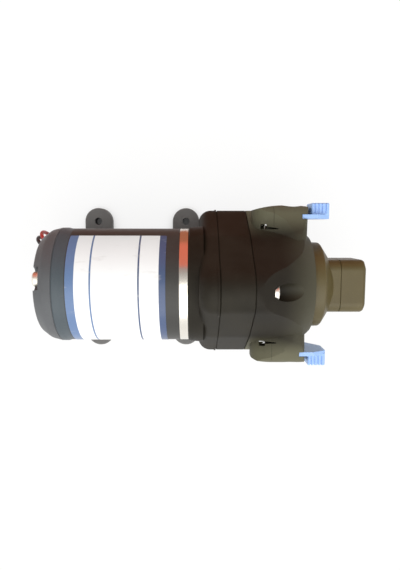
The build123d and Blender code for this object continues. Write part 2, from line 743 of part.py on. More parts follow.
with BuildPart() as port_arms:
    for hand in (1, -1):
        profiles = []
        for arm_y, (low_rear, top, tip), (rear_r, top_r, tip_r) in arm_profiles:
            with BuildSketch(side(hand * arm_y)) as profile:
                with BuildLine():
                    FilletPolyline(
                        low_rear,
                        top,
                        tip,
                        (top[0], -top[1]),
                        (low_rear[0], -low_rear[1]),
                        radius=(rear_r, top_r, tip_r, top_r, rear_r),
                        close=True,
                    )
                make_face()
            profiles.append(profile.sketch)
        loft(profiles)
    with BuildSketch(level(-AXIS_HEIGHT)) as arm_plan:
        with BuildLine():
            Polyline(plan(SEAM_2, ARM_REAR_Y), plan(SEAM_2, -ARM_REAR_Y))
            ThreePointArc(
                plan(SEAM_2, -ARM_REAR_Y),
                plan(PORT_X - 1, -PORT_REACH - BULGE),
                plan(ARM_END + 1, -ARM_FRONT_Y),
            )
            Polyline(plan(ARM_END + 1, -ARM_FRONT_Y), plan(ARM_END + 1, ARM_FRONT_Y))
            ThreePointArc(
                plan(ARM_END + 1, ARM_FRONT_Y),
                plan(PORT_X - 1, PORT_REACH + BULGE),
                plan(SEAM_2, ARM_REAR_Y),
            )
        make_face()
    extrude(arm_plan.sketch, amount=2 * AXIS_HEIGHT, mode=Mode.INTERSECT)
    with BuildSketch(at(SEAM_2)) as arm_ends:
        with GridLocations(2 * (PORT_REACH + BULGE - ARM_ROUND), 2 * (ARM_HIGH - ARM_ROUND), 2, 2):
            Circle(ARM_ROUND)
        with GridLocations(2 * (ROOT_Y - 2.0), 2 * GUSSET_HIGH, 2, 2):
            Circle(1.0)
        make_hull()
    extrude(arm_ends.sketch, amount=ARM_END - SEAM_2, mode=Mode.INTERSECT)

# Upper housing: three lobes cut back by a cone to a round nose, with the two port arms.
# Inside are the seat of the valve plate, a ring-shaped inlet space and a middle outlet space.
# A crease marks the inner edge of each arm, and a leaning slot there reaches a lower screw.

CHANNEL_R = 4.6
NOSE_R = 27.4
SLOT_GAP = 0.25
FORK_END = 49.0
FORK_HALF = 10.0
STRAP_START = 61.6
STRAP_HALF = 12.6
OUTLET_END = 62.0
CREASE_REAR = 41.6
CREASE_FRONT = 48.6
CREASE_FLOOR = 6.0
SLOT_INNER = 31.2
SLOT_LONG = 3.4
SLOT_LEAN = 0.13
SLOT_LOW = -17.0
SLOT_HIGH = 20.0
SLOT_WIDE = 2.7
POCKET_HIGH = 3.0
POCKET_WIDE = 8.4

with BuildPart() as upper_housing:
    with BuildSketch(at(SEAM_2)):
        lobed_outline()
    extrude(amount=NOSE_FRONT - SEAM_2)
    turned(
        (SEAM_2 - 1, 0),
        (SEAM_2 - 1, LOBE_PITCH + LOBE_R + 1),
        (SEAM_2 + 4.0, LOBE_PITCH + LOBE_R - 0.9),
        (SCREW_SEAT, 43.1),
        (SCREW_SEAT + 7.2, 39.6),
        (SCREW_SEAT + 16.0, 34.3),
        (NOSE_FRONT, NOSE_R),
        (NOSE_FRONT, 0),
        mode=Mode.INTERSECT,
    )
    add(port_arms.part)
    bar(SEAM_2, PLATE_FRONT + 1.4, DISC_R + 0.1, mode=Mode.SUBTRACT)
    turned(
        (PLATE_FRONT, 15.0),
        (PLATE_FRONT, 25.6),
        (PLATE_FRONT + 10, 25.6),
        (PLATE_FRONT + 10, 15.0),
        mode=Mode.SUBTRACT,
    )
    bar(PLATE_FRONT, PLATE_FRONT + 7, 13.2, mode=Mode.SUBTRACT)
    bar(PLATE_FRONT, OUTLET_END, 8.0, mode=Mode.SUBTRACT)
    bar(OUTLET_END, NOSE_FRONT, 3.0, mode=Mode.SUBTRACT)
    bar(PLATE_FRONT, PORT_X, 3.6, [(-20.3, 0)], mode=Mode.SUBTRACT)
    for hand, passage_end in ((1, 5.0), (-1, 20.3)):
        with BuildSketch(side(hand * 30.0)):
            with Locations((PORT_X, 0)):
                Circle(PORT_BORE_R)
        extrude(amount=-hand * 20, mode=Mode.SUBTRACT)
        with BuildSketch(side(hand * passage_end)):
            with Locations((PORT_X, 0)):
                Circle(3.6)
        extrude(amount=-hand * (31.0 - passage_end), mode=Mode.SUBTRACT)
        with BuildSketch(side(hand * (CLIP_Y + CLIP_PLATE / 2 + SLOT_GAP))):
            with Locations(((FORK_END + 72.0) / 2 - SLOT_GAP, 0)):
                Rectangle(72.0 - FORK_END, 2 * (FORK_HALF + SLOT_GAP))
            with Locations(((STRAP_START + 72.0) / 2 - SLOT_GAP, 0)):
                Rectangle(72.0 - STRAP_START, 4 * ARM_HIGH)
        extrude(amount=hand * (CLIP_PLATE + 2 * SLOT_GAP), mode=Mode.SUBTRACT)
        for top, wide in ((SLOT_HIGH, SLOT_WIDE), (POCKET_HIGH, POCKET_WIDE)):
            top_rear = SCREW_SEAT - SLOT_LEAN * (top - SLOT_LOW)
            with BuildSketch(side(hand * SLOT_INNER)):
                with BuildLine():
                    Polyline(
                        (SCREW_SEAT, SLOT_LOW),
                        (SCREW_SEAT + SLOT_LONG, SLOT_LOW),
                        (top_rear + SLOT_LONG, top),
                        (top_rear, top),
                        close=True,
                    )
                make_face()
            extrude(amount=-hand * wide, mode=Mode.SUBTRACT)
        with BuildSketch(level(CREASE_FLOOR)):
            with BuildLine():
                Polyline(
                    plan(CREASE_REAR, hand * SLOT_INNER),
                    plan(CREASE_REAR, hand * (SLOT_INNER + 1.6)),
                    plan(CREASE_FRONT, hand * (SLOT_INNER + 0.6)),
                    plan(CREASE_FRONT, hand * SLOT_INNER),
                    close=True,
                )
            make_face()
        extrude(amount=SLOT_HIGH, mode=Mode.SUBTRACT)
    bar(SCREW_SEAT, NOSE_FRONT + 2, CHANNEL_R, head_screw_spots, mode=Mode.SUBTRACT)
    bar(SEAM_2, SCREW_SEAT, 2.1, head_screw_spots, mode=Mode.SUBTRACT)
    bar(58.0, NOSE_FRONT, 1.5, tower_screw_spots, mode=Mode.SUBTRACT)
upper_housing.part.label = "upper_housing"

# Housing screws: three long screws that clamp the three housings together

with BuildPart() as housing_screws:
    bar(SCREW_SEAT, SCREW_SEAT + 2.4, 4.0, head_screw_spots)
    fillet(housing_screws.faces().sort_by(Axis.X)[-3:].edges(), 0.7)
    cross_recess(SCREW_SEAT + 2.4, head_screw_spots, 4.2, 1.0, -1.4)
    bar(8.5, SCREW_SEAT, 2.0, head_screw_spots)
housing_screws.part.label = "housing_screws"

# Slide clips: blue forks that hold the port fittings, each with a ribbed pad for the thumb

PAD_START = ARM_END + 0.4
PAD_END = PAD_START + 9.8
PAD_LOW = -5.0
PAD_HIGH = 8.6
PAD_Y = 45.6
FORK_GAP_R = 7.2
RIB_PITCH = 1.95
GROOVE = 0.9
RIB_DEEP = 0.6

clips = []
for hand, clip_name in ((1, "outlet_clip"), (-1, "inlet_clip")):
    inner_y = hand * (CLIP_Y - CLIP_PLATE / 2)
    outer_y = hand * (CLIP_Y + CLIP_PLATE / 2)
    with BuildPart() as clip:
        with BuildSketch(side(inner_y)):
            with Locations(((FORK_END + STRAP_START + 1) / 2, 0)):
                Rectangle(STRAP_START - FORK_END + 1, 2 * FORK_HALF)
            with BuildLine():
                Polyline(
                    (STRAP_START, -STRAP_HALF),
                    (STRAP_START, STRAP_HALF),
                    (PAD_START + 2.3, STRAP_HALF),
                    (PAD_END, PAD_HIGH - 1.0),
                    (PAD_END, PAD_LOW + 1.0),
                    (PAD_START + 2.3, -STRAP_HALF),
                    close=True,
                )
            make_face()
            with Locations((PORT_X, 0)):
                Circle(FORK_GAP_R, mode=Mode.SUBTRACT)
            with Locations((PORT_X - FORK_GAP_R, 0)):
                Rectangle(2 * FORK_GAP_R, 2 * FORK_GAP_R, mode=Mode.SUBTRACT)
        extrude(amount=-hand * CLIP_PLATE)
        with BuildSketch(side(outer_y - hand * 0.6)):
            with Locations(((PAD_START + PAD_END) / 2, (PAD_LOW + PAD_HIGH) / 2)):
                RectangleRounded(PAD_END - PAD_START, PAD_HIGH - PAD_LOW, 1.0)
        extrude(amount=-hand * (PAD_Y + 0.6 - hand * outer_y))
        fillet(clip.faces().sort_by(Axis.Y)[-1 if hand > 0 else 0].edges(), 0.8)
        with BuildSketch(level(PAD_HIGH - RIB_DEEP)):
            for step in range(4):
                rib_x = PAD_START + 1.8 + step * RIB_PITCH
                with Locations(plan(rib_x, hand * (CLIP_Y + 4.7))):
                    Rectangle(GROOVE, PAD_Y - CLIP_Y - 1.9)
        extrude(amount=RIB_DEEP, mode=Mode.SUBTRACT)
        with BuildSketch(level(PAD_LOW)):
            for step in range(4):
                rib_x = PAD_START + 1.8 + step * RIB_PITCH
                with Locations(plan(rib_x, hand * (PAD_Y - RIB_DEEP / 2))):
                    Rectangle(GROOVE, RIB_DEEP)
        extrude(amount=PAD_HIGH - PAD_LOW, mode=Mode.SUBTRACT)
    clip.part.label = clip_name
    clips.append(clip)

# Pressure switch: a round base and a square tower on the nose of the upper housing

BASE_FRONT = 72.9
TOWER_START = 79.2
CORNER_R = 6.0
CAP_GAP = 0.4
CAVITY_LONG = 25.0
CAVITY_WIDE = 14.6
MEMBRANE_FRONT = NOSE_FRONT + 1.0
CAVITY_REAR = 71.4

with BuildPart() as switch_housing:
    turned(
        (NOSE_FRONT, 0),
        (NOSE_FRONT, 24.0),
        (BASE_FRONT, 23.8),
        (TOWER_START, TOWER / 2 - 0.3),
        (TOWER_START, 0),
    )
    fillet(switch_housing.edges().filter_by(GeomType.CIRCLE).sort_by(SortBy.RADIUS)[-2], 1.2)
    for gap, drawn_in in ((CAP_GAP, 0), (0, CAP_GAP)):
        with BuildSketch(at(BASE_FRONT - 3)):
            RectangleRounded(TOWER - 2 * drawn_in, TOWER - 2 * drawn_in, CORNER_R - drawn_in)
        extrude(amount=CAP_SEAM - gap - BASE_FRONT + 3)
    bar(NOSE_FRONT, MEMBRANE_FRONT, 11.0, mode=Mode.SUBTRACT)
    bar(NOSE_FRONT, CAVITY_REAR, 4.1, mode=Mode.SUBTRACT)
    with BuildSketch(at(CAVITY_REAR)):
        Rectangle(CAVITY_LONG, CAVITY_WIDE)
        Rectangle(CAVITY_WIDE, CAVITY_LONG)
    extrude(amount=CAP_SEAM - CAVITY_REAR, mode=Mode.SUBTRACT)
    bar(NOSE_FRONT, CAP_SEAM, 1.6, tower_screw_spots, mode=Mode.SUBTRACT)
switch_housing.part.label = "switch_housing"

with BuildPart() as switch_diaphragm:
    bar(NOSE_FRONT, MEMBRANE_FRONT, 10.9)
switch_diaphragm.part.label = "switch_diaphragm"

# Switch plunger: a stepped button on the switch diaphragm, with an arm that pushes the lever

ARM_REAR_X = 71.7
ARM_FRONT_X = 72.9
ARM_WIDE = 1.8

with BuildPart() as switch_plunger:
    bar(MEMBRANE_FRONT, ARM_REAR_X, 4.0)
    bar(ARM_REAR_X, ARM_FRONT_X, 5.2)
    bar(ARM_FRONT_X, ARM_FRONT_X + 2.4, 1.9)
    with BuildSketch(at(ARM_REAR_X)):
        with Locations((0, 5.0)):
            Rectangle(ARM_WIDE, 8.0)
    extrude(amount=ARM_FRONT_X - ARM_REAR_X)
switch_plunger.part.label = "switch_plunger"

SCREW_END = 86.4
SPRING_START = ARM_FRONT_X + 0.45
SPRING_HIGH = SCREW_END - SPRING_START - 0.45

with BuildPart() as switch_spring:
    coil_spring(spot(SPRING_START, 0, 0), (1, 0, 0), 2.7, 0.35, 1.9, SPRING_HIGH)
switch_spring.part.label = "switch_spring"

# Micro switch: a snap switch beside the spring, with two ears and a pin for its lever

LEVER_REAR = 73.0
LEVER_THICK = 0.3
LEVER_Z = 7.6
LEVER_HALF = 1.2
SWITCH_REAR = 75.4
SWITCH_DEEP = 6.5
SWITCH_Z = 8.6
HINGE_X = 73.9
HINGE_Y = -6.0
EAR_THICK = 0.6
PIN_R = 0.35

with BuildPart() as micro_switch:
    with BuildSketch(at(SWITCH_REAR)):
        with Locations((0, SWITCH_Z)):
            Rectangle(12.8, 5.8)
    extrude(amount=SWITCH_DEEP)
    chamfer(micro_switch.edges().filter_by(Axis.X), 0.5)
    with BuildSketch(at(SWITCH_REAR + SWITCH_DEEP)):
        with Locations((-5.0, SWITCH_Z), (0, SWITCH_Z), (5.0, SWITCH_Z)):
            Rectangle(0.6, 2.4)
    extrude(amount=3.4)
    for ear_z in (LEVER_Z - LEVER_HALF - 0.1 - EAR_THICK, LEVER_Z + LEVER_HALF + 0.1):
        with BuildSketch(level(ear_z)):
            with Locations(plan(HINGE_X, HINGE_Y)):
                Circle(0.6)
            with Locations(plan((HINGE_X + SWITCH_REAR) / 2 + 0.25, HINGE_Y)):
                Rectangle(SWITCH_REAR - HINGE_X + 0.5, 1.2)
        extrude(amount=EAR_THICK)
    with BuildSketch(level(LEVER_Z - LEVER_HALF - 0.3)):
        with Locations(plan(HINGE_X, HINGE_Y)):
            Circle(PIN_R)
    extrude(amount=2 * LEVER_HALF + 0.6)
micro_switch.part.label = "micro_switch"

with BuildPart() as switch_lever:
    with BuildSketch(at(LEVER_REAR)):
        with Locations((0.1, LEVER_Z)):
            Rectangle(12.2, 2 * LEVER_HALF)
    extrude(amount=LEVER_THICK)
    with BuildSketch(level(LEVER_Z - LEVER_HALF)):
        with Locations(plan(HINGE_X, HINGE_Y)):
            Circle(0.8)
    extrude(amount=2 * LEVER_HALF)
    with BuildSketch(level(LEVER_Z - LEVER_HALF)):
        with Locations(plan(HINGE_X, HINGE_Y)):
            Circle(PIN_R + 0.05)
    extrude(amount=2 * LEVER_HALF, mode=Mode.SUBTRACT)
switch_lever.part.label = "switch_lever"

# Switch cap: a square moulded cap with a slightly rounded end, and the pressure screw in it

CAP_INNER = 91.5
PRESSURE_SCREW_R = 2.97

with BuildPart() as switch_cap:
    with BuildSketch(at(CAP_SEAM)):
        RectangleRounded(TOWER, TOWER, CORNER_R)
    extrude(amount=SWITCH_FRONT - CAP_SEAM)
    fillet(switch_cap.faces().sort_by(Axis.X)[-1].edges(), 2.2)
    with BuildSketch(at(CAP_SEAM)):
        Rectangle(CAVITY_LONG, CAVITY_WIDE)
        Rectangle(CAVITY_WIDE, CAVITY_LONG)
    extrude(amount=CAP_INNER - CAP_SEAM, mode=Mode.SUBTRACT)
    bar(SCREW_END + 1.0, CAP_INNER, 5.2)
    bar(SCREW_END, SWITCH_FRONT, 3.0, mode=Mode.SUBTRACT)
    bar(CAP_SEAM, SWITCH_FRONT, 1.6, tower_screw_spots, mode=Mode.SUBTRACT)
    bar(SWITCH_FRONT - 3.2, SWITCH_FRONT, 2.9, tower_screw_spots, mode=Mode.SUBTRACT)
switch_cap.part.label = "switch_cap"

with BuildPart() as pressure_screw:
    bar(SCREW_END, SWITCH_FRONT - 1.4, PRESSURE_SCREW_R)
    with BuildSketch(at(SWITCH_FRONT - 1.4)):
        RegularPolygon(1.6, 6)
    extrude(amount=-3.0, mode=Mode.SUBTRACT)
pressure_screw.part.label = "pressure_screw"

with BuildPart() as switch_screws:
    bar(SWITCH_FRONT - 3.2, SWITCH_FRONT - 1.2, 2.7, tower_screw_spots)
    cross_recess(SWITCH_FRONT - 1.2, tower_screw_spots, 3.2, 0.8, -1.0)
    bar(58.0, SWITCH_FRONT - 3.2, 1.5, tower_screw_spots)
switch_screws.part.label = "switch_screws"

# Leads: two limp supply leads, black and red, laid back under the pump to their stripped ends

LEAD_LIE = LEAD_R - AXIS_HEIGHT
END_LONG = 7.0
END_R = 0.65
LEAD_LEAVE = 6.9

lead_start = gland_plane.offset(GLAND_NOSE)
black_route = [
    (-90.6, 27.0, -17.6),
    (-88.6, 23.8, -28.8),
    (-80.2, 18.6, -38.4),
    (-66.0, 12.6, -43.2),
    (-44.0, 8.4, LEAD_LIE),
    (-14.0, 5.4, LEAD_LIE),
    (18.0, 8.2, LEAD_LIE),
    (43.0, 4.6, LEAD_LIE),
    (53.5, -6.5, LEAD_LIE),
]
red_route = [
    (-88.4, 30.2, -17.6),
    (-86.2, 27.0, -28.8),
    (-77.6, 22.2, -38.6),
    (-63.4, 16.8, -43.2),
    (-43.0, 12.4, LEAD_LIE),
    (-13.0, 9.6, LEAD_LIE),
    (19.0, 12.6, LEAD_LIE),
    (46.0, 8.6, LEAD_LIE),
    (60.0, -3.5, LEAD_LIE),
]
leads = []
for lead_name, hand, route in (("lead_black", -1, black_route), ("lead_red", 1, red_route)):
    first = Vector(*lead_start.from_local_coords((hand * LEAD_GAP / 2, 0, 0)))
    points = [first, first + Vector(*GLAND_WAY) * LEAD_LEAVE]
    points += [Vector(*spot(*point)) for point in route]
    runs = [b - a for a, b in zip(points, points[1:])]
    radii = []
    for before, after in zip(runs, runs[1:]):
        bend = radians(before.get_angle(after))
        radii.append(0.45 * min(before.length, after.length) / tan(bend / 2))
    print(lead_name, "radii", [round(radius, 1) for radius in radii])
    with BuildPart() as lead:
        with BuildLine() as lead_path:
            FilletPolyline(*points, radius=radii)
        with BuildSketch(Plane(origin=lead_path.line @ 0, z_dir=lead_path.line % 0)):
            Circle(LEAD_R)
        sweep()
    lead.part.label = lead_name
    length = sum(edge.length for edge in lead_path.edges())
    share = lead.part.volume / (pi * LEAD_R**2 * length)
    print(lead_name, "length", round(length, 1), "volume share", round(share, 3))
    with BuildPart() as lead_end:
        with BuildSketch(Plane(origin=points[-1], z_dir=runs[-1])):
            Circle(END_R)
        extrude(amount=END_LONG)
    lead_end.part.label = lead_name + "_end"
    leads += [lead, lead_end]

pieces = [motor_can, motor_label, rear_end_bell, rear_bush, front_bush, front_end_plate, end_cap]
pieces += [motor_bolts, lead_gland, field_magnets, armature_core, armature_windings, motor_shaft]
pieces += [commutator, brush_holder, carbon_brushes, brush_springs, base_plate, base_screws, *feet]
pieces += [lower_housing, drive_screws, wobble_cam, cam_set_screw, bearing_inner_race]
pieces += [bearing_outer_race, bearing_balls, wobble_plate, middle_housing, diaphragm, pistons]
pieces += [piston_screws, valve_plate, inlet_valves, outlet_valve, valve_seal, upper_housing]
pieces += [housing_screws, *clips, switch_housing, switch_diaphragm, switch_plunger]
pieces += [switch_spring, micro_switch, switch_lever, switch_cap, pressure_screw, switch_screws]
pieces += leads
for piece in pieces:
    export_step(piece.part, f"parts/{piece.part.label}.step")
print(len(pieces), "nodes")
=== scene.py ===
"""The looks of a 12 volt water pressure pump for a caravan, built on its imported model.

Everything is in metres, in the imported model's frame: the origin is the middle of the four
mounting holes on the surface that the feet stand on, +X runs along the motor towards the
pressure switch, and +Z is up. Sizes in millimetres are turned into metres by MM.
"""

from math import cos, pi, radians, sin

import bmesh
import bpy
from mathutils import Matrix, Quaternion, Vector


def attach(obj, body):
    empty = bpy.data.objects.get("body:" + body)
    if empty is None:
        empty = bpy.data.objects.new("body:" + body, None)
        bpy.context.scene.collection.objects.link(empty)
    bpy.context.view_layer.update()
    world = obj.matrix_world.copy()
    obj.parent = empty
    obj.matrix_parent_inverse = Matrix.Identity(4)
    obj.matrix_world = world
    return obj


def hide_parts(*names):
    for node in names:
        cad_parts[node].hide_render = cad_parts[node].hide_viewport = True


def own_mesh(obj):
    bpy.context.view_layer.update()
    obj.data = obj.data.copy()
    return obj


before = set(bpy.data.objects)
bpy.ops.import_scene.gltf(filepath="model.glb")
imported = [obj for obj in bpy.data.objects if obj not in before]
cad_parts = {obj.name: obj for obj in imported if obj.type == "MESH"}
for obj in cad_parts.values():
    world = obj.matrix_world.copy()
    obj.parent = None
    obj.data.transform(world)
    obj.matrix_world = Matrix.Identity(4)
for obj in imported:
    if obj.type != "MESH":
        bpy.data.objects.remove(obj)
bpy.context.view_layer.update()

# Camera: it looks down on the pump from a little beyond the far side, as a phone is held
# over a bench, with the motor axis lying level across the picture.

CAMERA_PLACE = (0.0351, 0.0315, 0.3297)
CAMERA_TURN = (-6.45, -0.34, 0.07)
LENS = 44.892
SENSOR = 36.0

lens = bpy.data.cameras.new("view")
lens.lens = LENS
lens.sensor_fit = "HORIZONTAL"
lens.sensor_width = SENSOR
lens.clip_start = 0.01
camera = bpy.data.objects.new("view", lens)
camera.location = CAMERA_PLACE
turn = Quaternion(Vector([radians(angle) for angle in CAMERA_TURN]))
camera.rotation_euler = turn.to_euler()
bpy.context.scene.collection.objects.link(camera)
bpy.context.scene.camera = camera
bpy.context.scene.view_settings.view_transform = "Standard"

# Supply leads: a black and a red one, fine copper strands in soft vinyl, led out of the
# gland in the end cap, down behind the pump and back under it, to ends stripped for joining.

MM = 0.001
LEAD_RADIUS = 1.1 * MM
BLACK_ROUTE = [
    (-0.05305, 0.0200, 0.0375),
    (-0.05857, 0.02359, 0.03543),
    (-0.0601, 0.0270, 0.0279),
    (-0.0581, 0.0238, 0.0167),
    (-0.0497, 0.0186, 0.0071),
    (-0.0355, 0.0126, 0.0023),
    (-0.0135, 0.0084, 0.0011),
    (0.0165, 0.0054, 0.0011),
    (0.0485, 0.0082, 0.0011),
    (0.0735, 0.0046, 0.0011),
    (0.0840, -0.0065, 0.0011),
]
RED_ROUTE = [
    (-0.05107, 0.02229, 0.03618),
    (-0.05659, 0.02588, 0.03411),
    (-0.0579, 0.0302, 0.0279),
    (-0.0557, 0.0270, 0.0167),
    (-0.0471, 0.0222, 0.0069),
    (-0.0329, 0.0168, 0.0023),
    (-0.0125, 0.0124, 0.0011),
    (0.0175, 0.0096, 0.0011),
    (0.0495, 0.0126, 0.0011),
    (0.0765, 0.0086, 0.0011),
    (0.0905, -0.0035, 0.0011),
]


class Wire:
    """One socket in a finish. Sums and products written on it become Math nodes."""

    def __init__(self, finish, socket):
        self.finish, self.socket = finish, socket

    def math(self, operation, *values):
        return self.finish.node("Math", {"operation": operation}, dict(enumerate(values)))

    def __add__(self, other):
        return self.math("ADD", self, other)

    def __sub__(self, other):
        return self.math("SUBTRACT", self, other)

    def __rsub__(self, other):
        return self.math("SUBTRACT", other, self)

    def __mul__(self, other):
        return self.math("MULTIPLY", self, other)

    __radd__ = __add__
    __rmul__ = __mul__

    def rise(self, low, high):
        """A mask that goes softly from 0 at low to 1 at high."""
        sockets = {"Value": self, "From Min": low, "From Max": high}
        return self.finish.node("MapRange", {"interpolation_type": "SMOOTHSTEP"}, sockets)

    def band(self, low, high, soft):
        """A mask that is 1 between low and high, with soft edges."""
        return self.rise(low - soft, low + soft) * (1 - self.rise(high - soft, high + soft))

    def most(self, other):
        return self.math("MAXIMUM", self, other)


class Finish:
    """A finish for a surface: a principled shader, and nodes that vary it over the surface."""

    def __init__(self, name, shine=0.5, metallic=0.0):
        self.material = bpy.data.materials.new(name)
        self.material.use_nodes = True
        self.tree = self.material.node_tree
        self.surface = self.tree.nodes["Principled BSDF"]
        self.join(self.surface, {"Specular IOR Level": shine, "Metallic": metallic})

    def join(self, node, sockets):
        for name, value in sockets.items():
            if isinstance(value, Wire):
                self.tree.links.new(value.socket, node.inputs[name])
            else:
                node.inputs[name].default_value = value

    def node(self, kind, settings=None, sockets=None, out=0):
        """Adds a node: its settings are set first, then its sockets are set or linked."""
        made = self.tree.nodes.new("ShaderNode" + kind)
        for name, value in (settings or {}).items():
            setattr(made, name, value)
        self.join(made, sockets or {})
        return Wire(self, made.outputs[out])

    def place(self):
        """The three coordinates on the piece, in metres."""
        point = self.node("TexCoord", out=3)
        return [self.node("SeparateXYZ", sockets={"Vector": point}, out=axis) for axis in range(3)]

    def specks(self, size, detail=2.0, stretch=(1, 1, 1), roughness=0.5):
        """A noise from 0 to 1, with features of about that size in metres."""
        point = self.node("TexCoord", out=3)
        scale = tuple(share / size for share in stretch)
        point = self.node("Mapping", sockets={"Vector": point, "Scale": scale})
        sockets = {"Vector": point, "Scale": 1.0, "Detail": detail, "Roughness": roughness}
        return self.node("TexNoise", sockets=sockets)

    def mixed(self, mask, first, second):
        """The first colour where the mask is 0, and the second where it is 1."""
        sockets = {0: mask, 6: self.colour(first), 7: self.colour(second)}
        return self.node("Mix", {"data_type": "RGBA"}, sockets, out=2)

    def colour(self, value):
        return value if isinstance(value, Wire) else (*value, 1.0)

    def vary(self, **sockets):
        """Links what changes over the surface to the shader."""
        self.join(self.surface, {name.replace("_", " ").title(): v for name, v in sockets.items()})

    def relief(self, height, depth, strength=1.0):
        """Raises the surface by a height from 0 to 1, times a depth in metres."""
        sockets = {"Height": height, "Distance": depth, "Strength": strength}
        self.vary(normal=self.node("Bump", sockets=sockets))


def vinyl(name, colour, faded):
    """Soft vinyl insulation: a dull gloss, fine drawing lines and a little handling dirt."""
    finish = Finish(name, shine=0.45)
    dirt = finish.specks(4 * MM, 3.0).rise(0.45, 0.75)
    finish.vary(
        base_color=finish.mixed(dirt, colour, faded),
        roughness=0.34 + 0.22 * dirt,
    )
    finish.relief(finish.specks(0.5 * MM, 2.0, (0.1, 1, 1)), 0.03 * MM, 0.4)
    return finish


tinned = Finish("tinned strands", metallic=1.0)
tarnish = tinned.specks(0.4 * MM, 2.0)
tinned.vary(
    base_color=tinned.mixed(tarnish.rise(0.4, 0.7), (0.80, 0.77, 0.72), (0.72, 0.50, 0.36)),
    roughness=0.25 + 0.2 * tarnish,
)
tinned.relief(tarnish, 0.02 * MM, 0.4)


def placed(piece_name, mesh, finish, slot, body, *nodes):
    """Puts a made mesh in the scene as a piece of that body, in place of its CAD nodes."""
    if isinstance(mesh, bmesh.types.BMesh):
        made = bpy.data.meshes.new(piece_name)
        mesh.to_mesh(made)
        mesh.free()
        mesh = made
    mesh.materials.clear()
    mesh.materials.append(finish.material)
    piece = bpy.data.objects.new(piece_name, mesh)
    bpy.context.scene.collection.objects.link(piece)
    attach(piece, body)
    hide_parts(*nodes)
    return piece


STRAND_R = 0.21 * MM
STRAND_PITCH = 0.42 * MM
STRAND_SINK = 0.4 * MM
STRIP_LONG = 7.0 * MM
STRAND_STEPS = 14
STRAND_TWIST = 300.0
STRANDS_ROUND = 6


def twisted_end(piece_name, route, node):
    """Six strands laid round a seventh, where the insulation is stripped off the end."""
    mesh = bmesh.new()
    rise = Vector((0, 0, (STRIP_LONG + STRAND_SINK) / STRAND_STEPS))
    for strand in range(1 + STRANDS_ROUND):
        out = STRAND_PITCH if strand else 0.0
        lay = Matrix.Rotation(strand * pi / 3, 4, "Z") @ Matrix.Translation((out, 0, 0))
        ring = bmesh.ops.create_circle(
            mesh, cap_ends=True, segments=8, radius=STRAND_R, matrix=lay
        )["verts"]
        faces = {face for vert in ring for face in vert.link_faces}
        edges = {edge for vert in ring for edge in vert.link_edges}
        bmesh.ops.spin(
            mesh, geom=[*ring, *edges, *faces], axis=(0, 0, 1), dvec=rise,
            angle=radians(STRAND_TWIST), steps=STRAND_STEPS,
        )
    bmesh.ops.recalc_face_normals(mesh, faces=mesh.faces)
    for face in mesh.faces:
        face.smooth = len(face.verts) == 4
    end, before = Vector(route[-1]), Vector(route[-2])
    way = (end - before).normalized()
    aim = way.to_track_quat("Z", "Y").to_matrix().to_4x4()
    mesh.transform(Matrix.Translation(end - way * STRAND_SINK) @ aim)
    return placed(piece_name, mesh, tinned, "tinned_copper", "pump_body", node)


def supply_lead(colour, route, finish):
    """One insulated lead along its route, with its stripped end."""
    line = bpy.data.curves.new(colour + "_supply_lead", "CURVE")
    line.dimensions = "3D"
    run = line.splines.new("NURBS")
    run.points.add(len(route) - 1)
    for point, spot in zip(run.points, route):
        point.co = (*spot, 1.0)
    run.order_u = 3
    run.use_endpoint_u = True
    run.resolution_u = 10
    line.bevel_depth = LEAD_RADIUS
    line.bevel_resolution = 4
    line.use_fill_caps = True
    node = "lead_" + colour
    lead = placed(line.name, line, finish, colour + "_pvc", "pump_body", node)
    tip = twisted_end(colour + "_stripped_end", route, node + "_end")


black_vinyl = vinyl("black vinyl", (0.018, 0.017, 0.018), (0.055, 0.052, 0.050))
red_vinyl = vinyl("red vinyl", (0.46, 0.030, 0.022), (0.36, 0.075, 0.055))
supply_lead("black", BLACK_ROUTE, black_vinyl)
supply_lead("red", RED_ROUTE, red_vinyl)

# Motor can: a deep-drawn steel tube in satin black paint. Its rear mouth is swelled a
# little to take the end bell, and the two long bolts clamp it between bell and end plate.

RING_X = 30.5
MERGE = 0.002 * MM
FLAT_ANGLE = 0.25
SHARP_ANGLE = 30.0


def dressed(node, finish, slot, body="pump_body", rounding=0.3):
    """A merged copy of a CAD node with smooth faces and softly rounded edges."""
    mesh = bmesh.new()
    mesh.from_mesh(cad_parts[node].data)
    bmesh.ops.remove_doubles(mesh, verts=mesh.verts, dist=MERGE)
    bmesh.ops.dissolve_limit(
        mesh, angle_limit=radians(FLAT_ANGLE), verts=mesh.verts, edges=mesh.edges,
        use_dissolve_boundaries=False,
    )
    for face in mesh.faces:
        face.smooth = True
    for edge in mesh.edges:
        if len(edge.link_faces) == 2:
            edge.smooth = edge.calc_face_angle() < radians(SHARP_ANGLE)
    piece = placed("made_" + node, mesh, finish, slot, body, node)
    if rounding:
        edge_round = piece.modifiers.new("edge rounding", "BEVEL")
        edge_round.limit_method = "ANGLE"
        edge_round.angle_limit = radians(SHARP_ANGLE)
        edge_round.width = rounding * MM
        edge_round.segments = 2
        edge_round.use_clamp_overlap = True
        edge_round.miter_outer = "MITER_ARC"
    even = piece.modifiers.new("even shading", "WEIGHTED_NORMAL")
    even.keep_sharp = True
    return piece


MOUTH_FRONT = -33.0 * MM
MOUTH_SOFT = 0.4 * MM

